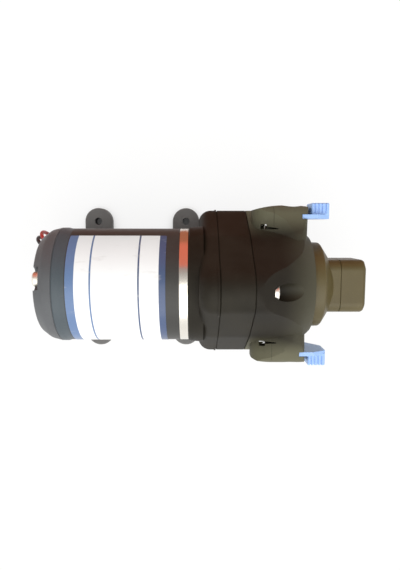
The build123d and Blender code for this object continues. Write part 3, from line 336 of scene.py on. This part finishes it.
can_paint = Finish("satin black can paint", shine=0.4)
can_cloud = can_paint.specks(14 * MM, 3.0)
can_dust = can_paint.specks(0.9 * MM, 4.0).rise(0.56, 0.74)
can_x = can_paint.place()[0]
can_mouth = 1 - can_x.rise(MOUTH_FRONT - MOUTH_SOFT, MOUTH_FRONT + MOUTH_SOFT)
can_black = can_paint.mixed(can_cloud, (0.030, 0.030, 0.028), (0.042, 0.042, 0.039))
can_black = can_paint.mixed(can_mouth, can_black, (0.060, 0.078, 0.092))
can_paint.vary(
    base_color=can_paint.mixed(0.12 * can_dust, can_black, (0.16, 0.155, 0.15)),
    roughness=0.40 + 0.10 * can_cloud + 0.12 * can_dust,
)
can_peel = can_paint.specks(0.8 * MM, 1.0)
can_draw = can_paint.specks(0.25 * MM, 2.0, (0.02, 1, 1))
can_paint.relief(can_peel + 0.3 * can_draw, 0.025 * MM, 0.35)

dressed("motor_can", can_paint, "can_paint")

# Rating label: a white satin plastic foil with pale blue borders and two fine blue rules,
# wrapped on to the can by its own adhesive. Its corners are rounded and its field is left bare.

AXIS_HIGH = 45.5
CAN_R = 31.5
LABEL_REAR = -63.0
LABEL_FRONT = -11.6
LABEL_THICK = 0.16
LABEL_START = 61.0
LABEL_SPAN = 172.0
LABEL_CORNER = 0.8
LABEL_STEPS = 64
LABEL_BLUE_REAR = -58.5
LABEL_BLUE_FRONT = -15.1
LABEL_RULES = (-50.3, -25.5)
LABEL_RULE_WIDE = 0.9
BORDER_SOFT = 0.1
RULE_SOFT = 0.08
BLUE_DEEPENS = (-45, -30)

foil = Finish("label foil", shine=0.5)
foil_at = foil.place()[0] * (1 / MM) - RING_X
borders = (1 - foil_at.rise(LABEL_BLUE_REAR - BORDER_SOFT, LABEL_BLUE_REAR + BORDER_SOFT)).most(
    foil_at.rise(LABEL_BLUE_FRONT - BORDER_SOFT, LABEL_BLUE_FRONT + BORDER_SOFT)
)
for rule in LABEL_RULES:
    half = LABEL_RULE_WIDE / 2
    borders = borders.most(foil_at.band(rule - half, rule + half, RULE_SOFT))
foil_scuff = foil.specks(3.0 * MM, 4.0, (0.35, 1, 1)).rise(0.60, 0.78)
foil_white = foil.mixed(foil.specks(18 * MM, 2.0), (0.86, 0.86, 0.87), (0.82, 0.825, 0.84))
foil_blue = foil.mixed(
    foil_at.rise(*BLUE_DEEPENS), (0.094, 0.170, 0.340), (0.036, 0.066, 0.160)
)
foil_blue = foil.mixed(0.12 * foil.specks(0.35 * MM, 2.0), foil_blue, (0.40, 0.44, 0.52))
foil_print = foil.mixed(borders, foil_white, foil_blue)
foil.vary(
    base_color=foil.mixed(0.35 * foil_scuff, foil_print, (0.62, 0.61, 0.60)),
    roughness=0.30 + 0.25 * foil_scuff,
)
foil_ripple = foil.specks(6 * MM, 2.0, (1, 0.4, 0.4))
foil.relief(foil_ripple + 0.12 * foil.specks(0.4 * MM), 0.08 * MM, 0.35)

label_mesh = bmesh.new()
label_arc = radians(LABEL_SPAN) * CAN_R
label_corners = [
    label_mesh.verts.new((x, s, 0))
    for x, s in (
        (LABEL_REAR, 0), (LABEL_FRONT, 0), (LABEL_FRONT, label_arc), (LABEL_REAR, label_arc)
    )
]
label_mesh.faces.new(label_corners)
bmesh.ops.bevel(
    label_mesh, geom=label_corners, offset=LABEL_CORNER, offset_type="OFFSET", segments=5,
    profile=0.5, affect="VERTICES", material=-1,
)
for step in range(1, LABEL_STEPS):
    bmesh.ops.bisect_plane(
        label_mesh, geom=[*label_mesh.verts, *label_mesh.edges, *label_mesh.faces],
        plane_co=(0, step * label_arc / LABEL_STEPS, 0), plane_no=(0, 1, 0),
    )
for vert in label_mesh.verts:
    angle = radians(LABEL_START) - vert.co.y / CAN_R
    spot = (RING_X + vert.co.x, CAN_R * sin(angle), AXIS_HIGH + CAN_R * cos(angle))
    vert.co = Vector(spot) * MM
bmesh.ops.recalc_face_normals(label_mesh, faces=label_mesh.faces)
if sum(face.normal.z for face in label_mesh.faces) < 0:
    bmesh.ops.reverse_faces(label_mesh, faces=label_mesh.faces)
bmesh.ops.solidify(label_mesh, geom=label_mesh.faces, thickness=-LABEL_THICK * MM)
bmesh.ops.recalc_face_normals(label_mesh, faces=label_mesh.faces)
for face in label_mesh.faces:
    face.smooth = True
for edge in label_mesh.edges:
    edge.smooth = edge.calc_face_angle(pi) < radians(SHARP_ANGLE)
placed("rating_label", label_mesh, foil, "label_foil", "pump_body", "motor_label")

# Front end plate: a turned steel disc, nickel plated and bright, that closes the front of
# the can. Only its rim shows, as the bright ring between the motor and the pump head.

nickel = Finish("bright nickel plate", metallic=1.0)
turning = nickel.specks(0.12 * MM, 2.0, (1, 0.01, 0.01))
nickel_haze = nickel.specks(5 * MM, 4.0)
nickel.vary(
    base_color=nickel.mixed(nickel_haze, (0.86, 0.83, 0.77), (0.78, 0.74, 0.66)),
    roughness=0.16 + 0.10 * nickel_haze + 0.06 * turning,
)
nickel.relief(turning, 0.012 * MM, 0.3)
dressed("front_end_plate", nickel, "bright_plate")

# End cap: moulded in black nylon, pressed over the end bell and held by the two motor bolts,
# whose heads lie in its notches. The leads leave through a slanted rubber gland.

PARTING_X = 76.8 * MM
PARTING_HALF = 0.15 * MM
PARTING_SOFT = 0.05 * MM
PARTING_DARK = 0.45
PARTING_DEEP = 4.0
# Painted light on the upper housing: the span across which the port arms are painted lighter, the
# span along which the nose is, and the nose's share of it.
ARM_PAINTED_LIGHT = (25 * MM, 40 * MM)
NOSE_PAINTED_LIGHT_SPAN = (76 * MM, 101 * MM)
NOSE_PAINTED_LIGHT_SHARE = 0.55


def moulded(name, dark, light, haze, rough, grain=0.22, shine=0.5, painted_lighter=None):
    """Black moulded plastic: a spark-eroded grain, a soft bloom and a little pale dust. A second
    colour, when given, is painted light: the port arms are painted lighter with it, past a fine
    parting line on each, and less so towards the nose."""
    finish = Finish(name, shine=shine)
    bloom = finish.specks(22 * MM, 3.0)
    dust = finish.specks(1.2 * MM, 4.0, roughness=0.6).rise(0.58, 0.76)
    shade = finish.mixed(bloom.rise(0.3, 0.7), dark, light)
    erosion = finish.specks(grain * MM, 2.0)
    flow = finish.specks(9 * MM, 1.0)
    height = erosion + 1.5 * flow
    if painted_lighter:
        x, y = finish.place()[:2]
        arms = y.math("ABSOLUTE", y).rise(*ARM_PAINTED_LIGHT)
        shade = finish.mixed(arms.most(NOSE_PAINTED_LIGHT_SHARE * x.rise(*NOSE_PAINTED_LIGHT_SPAN)), shade, painted_lighter)
        parting = arms * x.band(PARTING_X - PARTING_HALF, PARTING_X + PARTING_HALF, PARTING_SOFT)
        shade = finish.mixed(PARTING_DARK * parting, shade, dark)
        height = height - PARTING_DEEP * parting
    finish.vary(
        base_color=finish.mixed(0.12 * dust, shade, haze),
        roughness=rough + 0.10 * bloom + 0.10 * dust,
    )
    finish.relief(height, 0.045 * MM, 0.4)
    return finish


cap_nylon = moulded(
    "end cap nylon", (0.078, 0.082, 0.088), (0.094, 0.100, 0.108), (0.26, 0.26, 0.26), 0.42
)
gland_rubber = moulded(
    "gland rubber", (0.016, 0.016, 0.016), (0.024, 0.023, 0.023), (0.12, 0.12, 0.11), 0.55
)
dressed("end_cap", cap_nylon, "cap_plastic")
dressed("lead_gland", gland_rubber, "gland_rubber", rounding=0.2)


def zinced(name, bright, dull, rough):
    """Zinc-plated steel: passivated to a pale straw colour, with a soft cloudy sheen."""
    finish = Finish(name, metallic=1.0)
    cloud = finish.specks(2.0 * MM, 4.0)
    scratch = finish.specks(0.3 * MM, 2.0, (1, 0.08, 1)).rise(0.6, 0.72)
    finish.vary(
        base_color=finish.mixed(cloud.rise(0.35, 0.7), bright, dull),
        roughness=rough + 0.12 * cloud + 0.10 * scratch,
    )
    finish.relief(cloud + 0.5 * scratch, 0.01 * MM, 0.4)
    return finish


screw_zinc = zinced("zinced screws", (0.92, 0.90, 0.83), (0.80, 0.76, 0.66), 0.40)
pressed_zinc = zinced("pressed steel", (0.62, 0.61, 0.58), (0.48, 0.47, 0.45), 0.34)
dressed("motor_bolts", screw_zinc, "screw_steel", rounding=0.12)
dressed("rear_end_bell", pressed_zinc, "pressed_steel", rounding=0.2)

# Base plate: 2 mm pressed steel in black powder paint, a saddle that carries the can and
# four ears for the rubber feet. Two short screws hold it to the can from below.

powder = Finish("black powder paint", shine=0.5)
powder_chip = powder.specks(1.6 * MM, 3.0).rise(0.70, 0.74)
powder_dust = powder.specks(7 * MM, 4.0)
powder.vary(
    base_color=powder.mixed(
        powder_chip,
        powder.mixed(powder_dust, (0.018, 0.018, 0.018), (0.034, 0.033, 0.031)),
        (0.42, 0.40, 0.37),
    ),
    roughness=0.46 + 0.14 * powder_dust - 0.12 * powder_chip,
    metallic=powder_chip,
)
powder.relief(powder.specks(0.6 * MM, 2.0), 0.04 * MM, 0.45)
dressed("base_plate", powder, "base_paint", rounding=0.35)
dressed("base_screws", screw_zinc, "screw_steel", rounding=0.12)

# Feet: four boots moulded in soft black rubber, pushed over the ears of the base plate.
# Each has a hole for a mounting screw and keeps the pump from drumming on its floor.

foot_rubber = Finish("foot rubber", shine=0.4)
foot_bloom = foot_rubber.specks(5 * MM, 4.0)
foot_dust = foot_rubber.specks(0.5 * MM, 3.0).rise(0.55, 0.75)
foot_shade = foot_rubber.mixed(foot_bloom, (0.135, 0.135, 0.134), (0.175, 0.174, 0.171))
foot_rubber.vary(
    base_color=foot_rubber.mixed(0.25 * foot_dust, foot_shade, (0.20, 0.19, 0.18)),
    roughness=0.62 + 0.14 * foot_bloom + 0.1 * foot_dust,
)
foot_rubber.relief(foot_rubber.specks(0.35 * MM, 3.0), 0.05 * MM, 0.5)
for foot in ("foot_rear_left", "foot_front_left", "foot_rear_right", "foot_front_right"):
    dressed(foot, foot_rubber, "foot_rubber", rounding=0.3)

# Pump head: three housings moulded in glass-filled black nylon and clamped by three long
# screws. The lower one holds the drive, the middle one the diaphragm, the upper one the ports.

head_nylon = moulded(
    "pump head nylon", (0.012, 0.010, 0.006), (0.020, 0.017, 0.011), (0.08, 0.07, 0.05), 0.52,
    shine=0.18,
)
# Port nylon: painted lighter on the port arms and towards the nose, as painted light.
port_nylon = moulded(
    "port nylon", (0.010, 0.008, 0.005), (0.017, 0.014, 0.009), (0.08, 0.07, 0.05), 0.52,
    shine=0.18, painted_lighter=(0.110, 0.106, 0.068),
)
dressed("lower_housing", head_nylon, "housing_plastic", rounding=0.35)
dressed("middle_housing", head_nylon, "housing_plastic", rounding=0.35)
dressed("upper_housing", port_nylon, "housing_plastic", rounding=0.4)
dressed("housing_screws", screw_zinc, "screw_steel", rounding=0.12)

# Slide clips: forks moulded in pale blue acetal that push across the ports and lock the
# hose fittings. A ribbed pad on each one stands out for the thumb.

acetal = Finish("pale blue acetal", shine=0.5)
acetal_cloud = acetal.specks(6 * MM, 2.0)
acetal_rub = acetal.specks(1.0 * MM, 3.0).rise(0.5, 0.7)
acetal_blue = acetal.mixed(acetal_cloud, (0.27, 0.44, 0.80), (0.32, 0.50, 0.86))
acetal.vary(
    base_color=acetal.mixed(0.2 * acetal_rub, acetal_blue, (0.55, 0.68, 0.92)),
    roughness=0.34 + 0.12 * acetal_cloud,
)
acetal.relief(acetal.specks(0.3 * MM, 2.0), 0.02 * MM, 0.35)
dressed("outlet_clip", acetal, "clip_blue", "outlet_slide", rounding=0.22)
dressed("inlet_clip", acetal, "clip_blue", "inlet_slide", rounding=0.22)

# Pressure switch: a round base and a square tower on the nose of the head, closed by a
# square cap. Four screws hold it, and a socket screw in the cap sets the pressure.

# The switch housing and cap are the same black nylon as the head; their paler, yellower colour is
# painted light, for the brighter light the switch tower catches.
switch_nylon_painted_light = moulded(
    "switch nylon painted lighter", (0.070, 0.053, 0.013), (0.088, 0.068, 0.020), (0.24, 0.22, 0.14), 0.42
)
dressed("switch_housing", switch_nylon_painted_light, "housing_plastic", rounding=0.4)
dressed("switch_cap", switch_nylon_painted_light, "housing_plastic", rounding=0.3)
dressed("switch_screws", screw_zinc, "screw_steel", rounding=0.1)
dressed("pressure_screw", screw_zinc, "screw_steel", "pressure_set", rounding=0.12)

# Inside the motor: ferrite magnets in the can, and between them the armature with its
# copper coils, its commutator and the two carbon brushes in their boxes.


def bare_metal(name, bright, dull, rough, size=1.0, stretch=(1, 1, 1)):
    """A bare metal: two shades of it, uneven gloss and fine tool marks."""
    finish = Finish(name, metallic=1.0)
    mottle = finish.specks(size * MM, 3.0, stretch)
    finish.vary(
        base_color=finish.mixed(mottle.rise(0.3, 0.7), bright, dull),
        roughness=rough + 0.15 * mottle,
    )
    finish.relief(mottle, 0.015 * MM, 0.4)
    return finish


def plain_stuff(name, light, dark, rough, size=1.0, depth=0.03):
    """A dull non-metal: two shades of it and a fine grain."""
    finish = Finish(name, shine=0.4)
    mottle = finish.specks(size * MM, 4.0)
    finish.vary(
        base_color=finish.mixed(mottle.rise(0.3, 0.7), light, dark),
        roughness=rough + 0.15 * mottle,
    )
    finish.relief(mottle, depth * MM, 0.4)
    return finish


def refinished(finish, *nodes):
    """Gives CAD nodes that keep their own mesh a finish."""
    for node in nodes:
        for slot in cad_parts[node].material_slots:
            slot.material = finish.material


bronze = bare_metal("sintered bronze", (0.62, 0.42, 0.20), (0.46, 0.30, 0.15), 0.42, 0.3)
ground = bare_metal(
    "ground steel", (0.74, 0.74, 0.73), (0.62, 0.62, 0.61), 0.18, 0.1, (1, 0.02, 0.02)
)
stack = bare_metal(
    "laminations", (0.42, 0.41, 0.40), (0.22, 0.21, 0.21), 0.40, 0.5, (1, 0.01, 0.01)
)
copper = bare_metal("enamelled copper", (0.80, 0.36, 0.16), (0.56, 0.22, 0.09), 0.26, 0.4)
cam_steel = bare_metal("cam steel", (0.52, 0.51, 0.50), (0.40, 0.39, 0.38), 0.32, 0.6)
spring = bare_metal("spring wire", (0.60, 0.59, 0.57), (0.46, 0.45, 0.43), 0.25, 0.2)
ferrite = plain_stuff("ferrite", (0.060, 0.058, 0.057), (0.035, 0.034, 0.034), 0.6)
brush_card = plain_stuff("brush card", (0.30, 0.17, 0.08), (0.22, 0.12, 0.06), 0.5)
carbon = plain_stuff("brush carbon", (0.045, 0.045, 0.047), (0.030, 0.030, 0.032), 0.5, 0.2)
refinished(bronze, "rear_bush", "front_bush")
refinished(ferrite, "field_magnets")
refinished(stack, "armature_core")
refinished(copper, "armature_windings", "commutator")
refinished(ground, "motor_shaft")
refinished(brush_card, "brush_holder")
refinished(carbon, "carbon_brushes")
refinished(spring, "brush_springs")

# Inside the pump head: the cam and its steel ball bearing swing the nylon wobble plate, whose
# arms work three pistons against the rubber valves of the valve plate.

nylon = plain_stuff("natural nylon", (0.72, 0.69, 0.60), (0.64, 0.61, 0.52), 0.38, 4.0, 0.02)
membrane = plain_stuff("membrane rubber", (0.030, 0.030, 0.031), (0.020, 0.020, 0.020), 0.5, 0.6)
refinished(screw_zinc, "drive_screws", "piston_screws", "cam_set_screw")
refinished(cam_steel, "wobble_cam")
refinished(ground, "bearing_inner_race", "bearing_outer_race", "bearing_balls")
refinished(nylon, "wobble_plate", "pistons", "valve_plate")
refinished(membrane, "inlet_valves", "outlet_valve", "valve_seal")

# Diaphragm: one rubber sheet, clamped between the middle housing and the valve plate, with a
# raised ring round each of its three holes. A round pad in each hole rides on the wobble plate.

WOBBLE_CENTRE = Vector((50.5, 0, AXIS_HIGH)) * MM
WOBBLE_TILT = radians(3.5)
CHAMBER_PITCH = 17.0 * MM
CHAMBER_ANGLES = (90, 210, 330)
SHEET_R = 29.4 * MM
SHEET_REAR = 64.0 * MM
SHEET_THICK = 1.4 * MM
SHEET_HOLE_R = 9.0 * MM
RING_R = (8.3 * MM, 9.8 * MM)
RING_X_SPAN = (62.4 * MM, 67.0 * MM)
PAD_R = 7.3 * MM
PAD_THICK = 1.3 * MM
PAD_MIDDLE = 14.15 * MM
RUBBER_EDGE = 0.25 * MM

chamber_axes = [
    CHAMBER_PITCH * Vector((0, cos(radians(angle)), sin(radians(angle))))
    for angle in CHAMBER_ANGLES
]
sheet_middle = Vector((SHEET_REAR, 0, AXIS_HIGH * MM))
facing = Matrix.Rotation(radians(90), 4, "Y")
sheet_mesh = bmesh.new()
sheet_holes = [(chamber, SHEET_HOLE_R) for chamber in chamber_axes]
for spot, radius in ((Vector(), SHEET_R), *sheet_holes):
    bmesh.ops.create_circle(
        sheet_mesh, segments=96, radius=radius,
        matrix=Matrix.Translation(sheet_middle + spot) @ facing,
    )
sheet_faces = [
    part
    for part in bmesh.ops.triangle_fill(
        sheet_mesh, use_beauty=True, edges=sheet_mesh.edges, normal=(1, 0, 0)
    )["geom"]
    if isinstance(part, bmesh.types.BMFace)
]
front = bmesh.ops.extrude_face_region(sheet_mesh, geom=sheet_faces, use_keep_orig=True)["geom"]
front_verts = [part for part in front if isinstance(part, bmesh.types.BMVert)]
bmesh.ops.translate(sheet_mesh, verts=front_verts, vec=(SHEET_THICK, 0, 0))
for chamber in chamber_axes:
    corners = [
        sheet_mesh.verts.new((x, chamber.y, AXIS_HIGH * MM + chamber.z + radius))
        for x, radius in zip((*RING_X_SPAN, *RING_X_SPAN[::-1]), sorted(2 * RING_R))
    ]
    loop = [sheet_mesh.edges.new((corners[i - 1], corners[i])) for i in range(4)]
    bmesh.ops.spin(
        sheet_mesh, geom=[*corners, *loop], cent=sheet_middle + chamber, axis=(1, 0, 0),
        angle=2 * pi, steps=72,
    )
bmesh.ops.remove_doubles(sheet_mesh, verts=sheet_mesh.verts, dist=MERGE)
bmesh.ops.recalc_face_normals(sheet_mesh, faces=sheet_mesh.faces)
sheet_rims = [edge for edge in sheet_mesh.edges if edge.calc_face_angle(0) > 1]
bmesh.ops.bevel(
    sheet_mesh, geom=sheet_rims, offset=RUBBER_EDGE, segments=2, profile=0.5, affect="EDGES"
)
placed("diaphragm_sheet", sheet_mesh, membrane, "membrane_rubber", "pump_body", "diaphragm")

pad_mesh = bmesh.new()
way = Vector((cos(WOBBLE_TILT), 0, -sin(WOBBLE_TILT)))
up = Vector((sin(WOBBLE_TILT), 0, cos(WOBBLE_TILT)))
for chamber in chamber_axes:
    place = WOBBLE_CENTRE + PAD_MIDDLE * way + Vector((0, chamber.y, 0)) + chamber.z * up
    bmesh.ops.create_cone(
        pad_mesh, cap_ends=True, segments=64, radius1=PAD_R, radius2=PAD_R, depth=PAD_THICK,
        matrix=Matrix.Translation(place) @ way.to_track_quat("Z", "Y").to_matrix().to_4x4(),
    )
pad_rims = [edge for edge in pad_mesh.edges if edge.calc_face_angle() > 1]
bmesh.ops.bevel(
    pad_mesh, geom=pad_rims, offset=RUBBER_EDGE, segments=2, profile=0.5, affect="EDGES"
)
placed("diaphragm_pads", pad_mesh, membrane, "membrane_rubber", "wobbler")

# Inside the pressure switch: a rubber diaphragm lifts the plunger against a spring, and its
# arm swings the lever of a snap switch.

refinished(membrane, "switch_diaphragm")
refinished(nylon, "switch_plunger")
refinished(spring, "switch_lever")
switch_case = plain_stuff("switch case", (0.030, 0.030, 0.032), (0.022, 0.022, 0.023), 0.4)
refinished(switch_case, "micro_switch")
switch_spring = dressed("switch_spring", spring, "spring_steel", rounding=0)
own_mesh(switch_spring)

# Studio: a white floor that keeps the pump's faint shadow, with painted shade close round and
# under the pump, inside a round of white paper. A wide soft lamp hangs over the near side, and
# a weaker one that nothing mirrors fills the far side. A warm board and a wall beyond the pump
# glow by their own light and show only in what is glossy.

FLOOR_R = 3.0
SURROUND_HIGH = 1.35
FLOOR_LIFT = 0.84
SHADE_REACH = 12 * MM
SHADE_OPEN = 0.45
LIFT_OPEN = 0.9
PAPER_WHITE = (0.92, 0.92, 0.92)


def studio_rays(finish):
    """1 for a ray that shows the background: seen straight, in a mirror or through glass."""
    seen = finish.node("LightPath", out=0)
    return seen.most(finish.node("LightPath", out=3)).most(finish.node("LightPath", out=6))


def staged(name, mesh, finish):
    """Puts a made mesh in the scene as a part of the studio."""
    data = bpy.data.meshes.new(name)
    mesh.to_mesh(data)
    mesh.free()
    data.materials.append(finish.material)
    holder = bpy.data.objects.new(name, data)
    bpy.context.scene.collection.objects.link(holder)
    return holder


bench = Finish("white bench", shine=0.0)
# Painted shade: where ambient occlusion finds the floor hemmed in, round and under the pump and
# inside the foot holes, its colour is painted darker and less of the even white is added.
open_air = bench.node("AmbientOcclusion", {"samples": 8}, {"Distance": SHADE_REACH}, out=1)
bench_white_painted_shade = bench.mixed(open_air.rise(0.0, SHADE_OPEN), (0.10, 0.10, 0.10), PAPER_WHITE)
bench.vary(base_color=bench_white_painted_shade, roughness=0.9)
lift = FLOOR_LIFT * open_air.rise(0.0, LIFT_OPEN) * studio_rays(bench)
white = bench.node("Emission", sockets={"Color": (1, 1, 1, 1), "Strength": 1.0})
lit = Wire(bench, bench.surface.outputs[0])
lifted = bench.node("MixShader", sockets={0: lift, 1: lit, 2: white})
bench.join(bench.tree.nodes["Material Output"], {"Surface": lifted})
floor_mesh = bmesh.new()
bmesh.ops.create_circle(floor_mesh, cap_ends=True, segments=64, radius=FLOOR_R)
staged("bench", floor_mesh, bench)

paper = Finish("white paper surround", shine=0.0)
paper.join(paper.surface, {"Base Color": (*PAPER_WHITE, 1), "Roughness": 0.9})
paper_white = paper.node("Emission", sockets={"Color": (1, 1, 1, 1), "Strength": 1.0})
paper_lit = Wire(paper, paper.surface.outputs[0])
paper_seen = paper.node("MixShader", sockets={0: studio_rays(paper), 1: paper_lit, 2: paper_white})
paper.join(paper.tree.nodes["Material Output"], {"Surface": paper_seen})
paper_mesh = bmesh.new()
bmesh.ops.create_cone(
    paper_mesh, segments=64, radius1=FLOOR_R, radius2=FLOOR_R, depth=SURROUND_HIGH,
    matrix=Matrix.Translation((0, 0, SURROUND_HIGH / 2)),
)
surround = staged("paper_surround", paper_mesh, paper)
surround.visible_diffuse = surround.visible_shadow = False


def lamp(name, place, aim, size, power, mirrored):
    """A soft square lamp that shines from its place towards its aim."""
    light = bpy.data.lights.new(name, "AREA")
    light.shape = "SQUARE"
    light.size = size
    light.energy = power
    light.color = (1.0, 0.99, 0.96)
    holder = bpy.data.objects.new(name, light)
    holder.location = place
    holder.rotation_euler = (Vector(aim) - Vector(place)).to_track_quat("-Z", "Y").to_euler()
    holder.visible_camera = False
    holder.visible_glossy = mirrored
    bpy.context.scene.collection.objects.link(holder)


WINDOW_PLACE = (0.10, -0.24, 0.58)
WINDOW_AIM = (0.03, 0, 0.04)
WINDOW_WIDE = 0.7
WINDOW_POWER = 2.1
FILL_PLACE = (0.02, 0.42, 0.42)
FILL_AIM = (0.03, 0, 0.05)
FILL_WIDE = 0.6
FILL_POWER = 1.0
lamp("window", WINDOW_PLACE, WINDOW_AIM, WINDOW_WIDE, WINDOW_POWER, True)
lamp("far fill", FILL_PLACE, FILL_AIM, FILL_WIDE, FILL_POWER, False)


def board(name, corners, colour):
    """A warm board of the room that glows by its own light in place of a lit one, seen only by
    what is glossy.
    """
    sheet = bmesh.new()
    sheet.faces.new([sheet.verts.new(corner) for corner in corners])
    glow = Finish(name, shine=0.0)
    glow.join(glow.surface, {
        "Base Color": (0, 0, 0, 1), "Emission Color": (*colour, 1), "Emission Strength": 1.0,
    })
    holder = staged(name, sheet, glow)
    holder.visible_camera = holder.visible_diffuse = False
    holder.visible_transmission = holder.visible_shadow = False


BOARD_NEAR = 0.06
BOARD_FAR = 0.45
BOARD_HALF = 0.6
BOARD_RISE = 0.003
WALL_HIGH = 0.60
BOARD_GLOW = (0.43, 0.15, 0.083)
WALL_GLOW = (0.77, 0.19, 0.12)
floor_line = [
    (x, y, BOARD_RISE)
    for x, y in (
        (-BOARD_HALF, BOARD_NEAR), (BOARD_HALF, BOARD_NEAR),
        (BOARD_HALF, BOARD_FAR), (-BOARD_HALF, BOARD_FAR),
    )
]
wall_line = [
    (-BOARD_HALF, BOARD_FAR, 0), (BOARD_HALF, BOARD_FAR, 0),
    (BOARD_HALF, BOARD_FAR, WALL_HIGH), (-BOARD_HALF, BOARD_FAR, WALL_HIGH),
]
board("glowing bench board", floor_line, BOARD_GLOW)
board("glowing room wall", wall_line, WALL_GLOW)

# Air of the room: plain, faintly warm light from all round. It is stronger from the near side
# of the pump than from the far side, as it is beside a window.

ROOM_NEAR = 1.6
ROOM_FAR = 0.12
ROOM_SPREAD = 0.8
room = bpy.data.worlds.new("room")
room.use_nodes = True
bpy.context.scene.world = room
air = room.node_tree.nodes["Background"]
air.inputs["Color"].default_value = (1.0, 0.985, 0.96, 1.0)
sky = room.node_tree.nodes.new("ShaderNodeTexCoord")
split = room.node_tree.nodes.new("ShaderNodeSeparateXYZ")
fade = room.node_tree.nodes.new("ShaderNodeMapRange")
fade_levels = {
    "From Min": -ROOM_SPREAD, "From Max": ROOM_SPREAD, "To Min": ROOM_NEAR, "To Max": ROOM_FAR,
}
for socket, level in fade_levels.items():
    fade.inputs[socket].default_value = level
room.node_tree.links.new(sky.outputs["Generated"], split.inputs[0])
room.node_tree.links.new(split.outputs["Y"], fade.inputs["Value"])
room.node_tree.links.new(fade.outputs[0], air.inputs["Strength"])
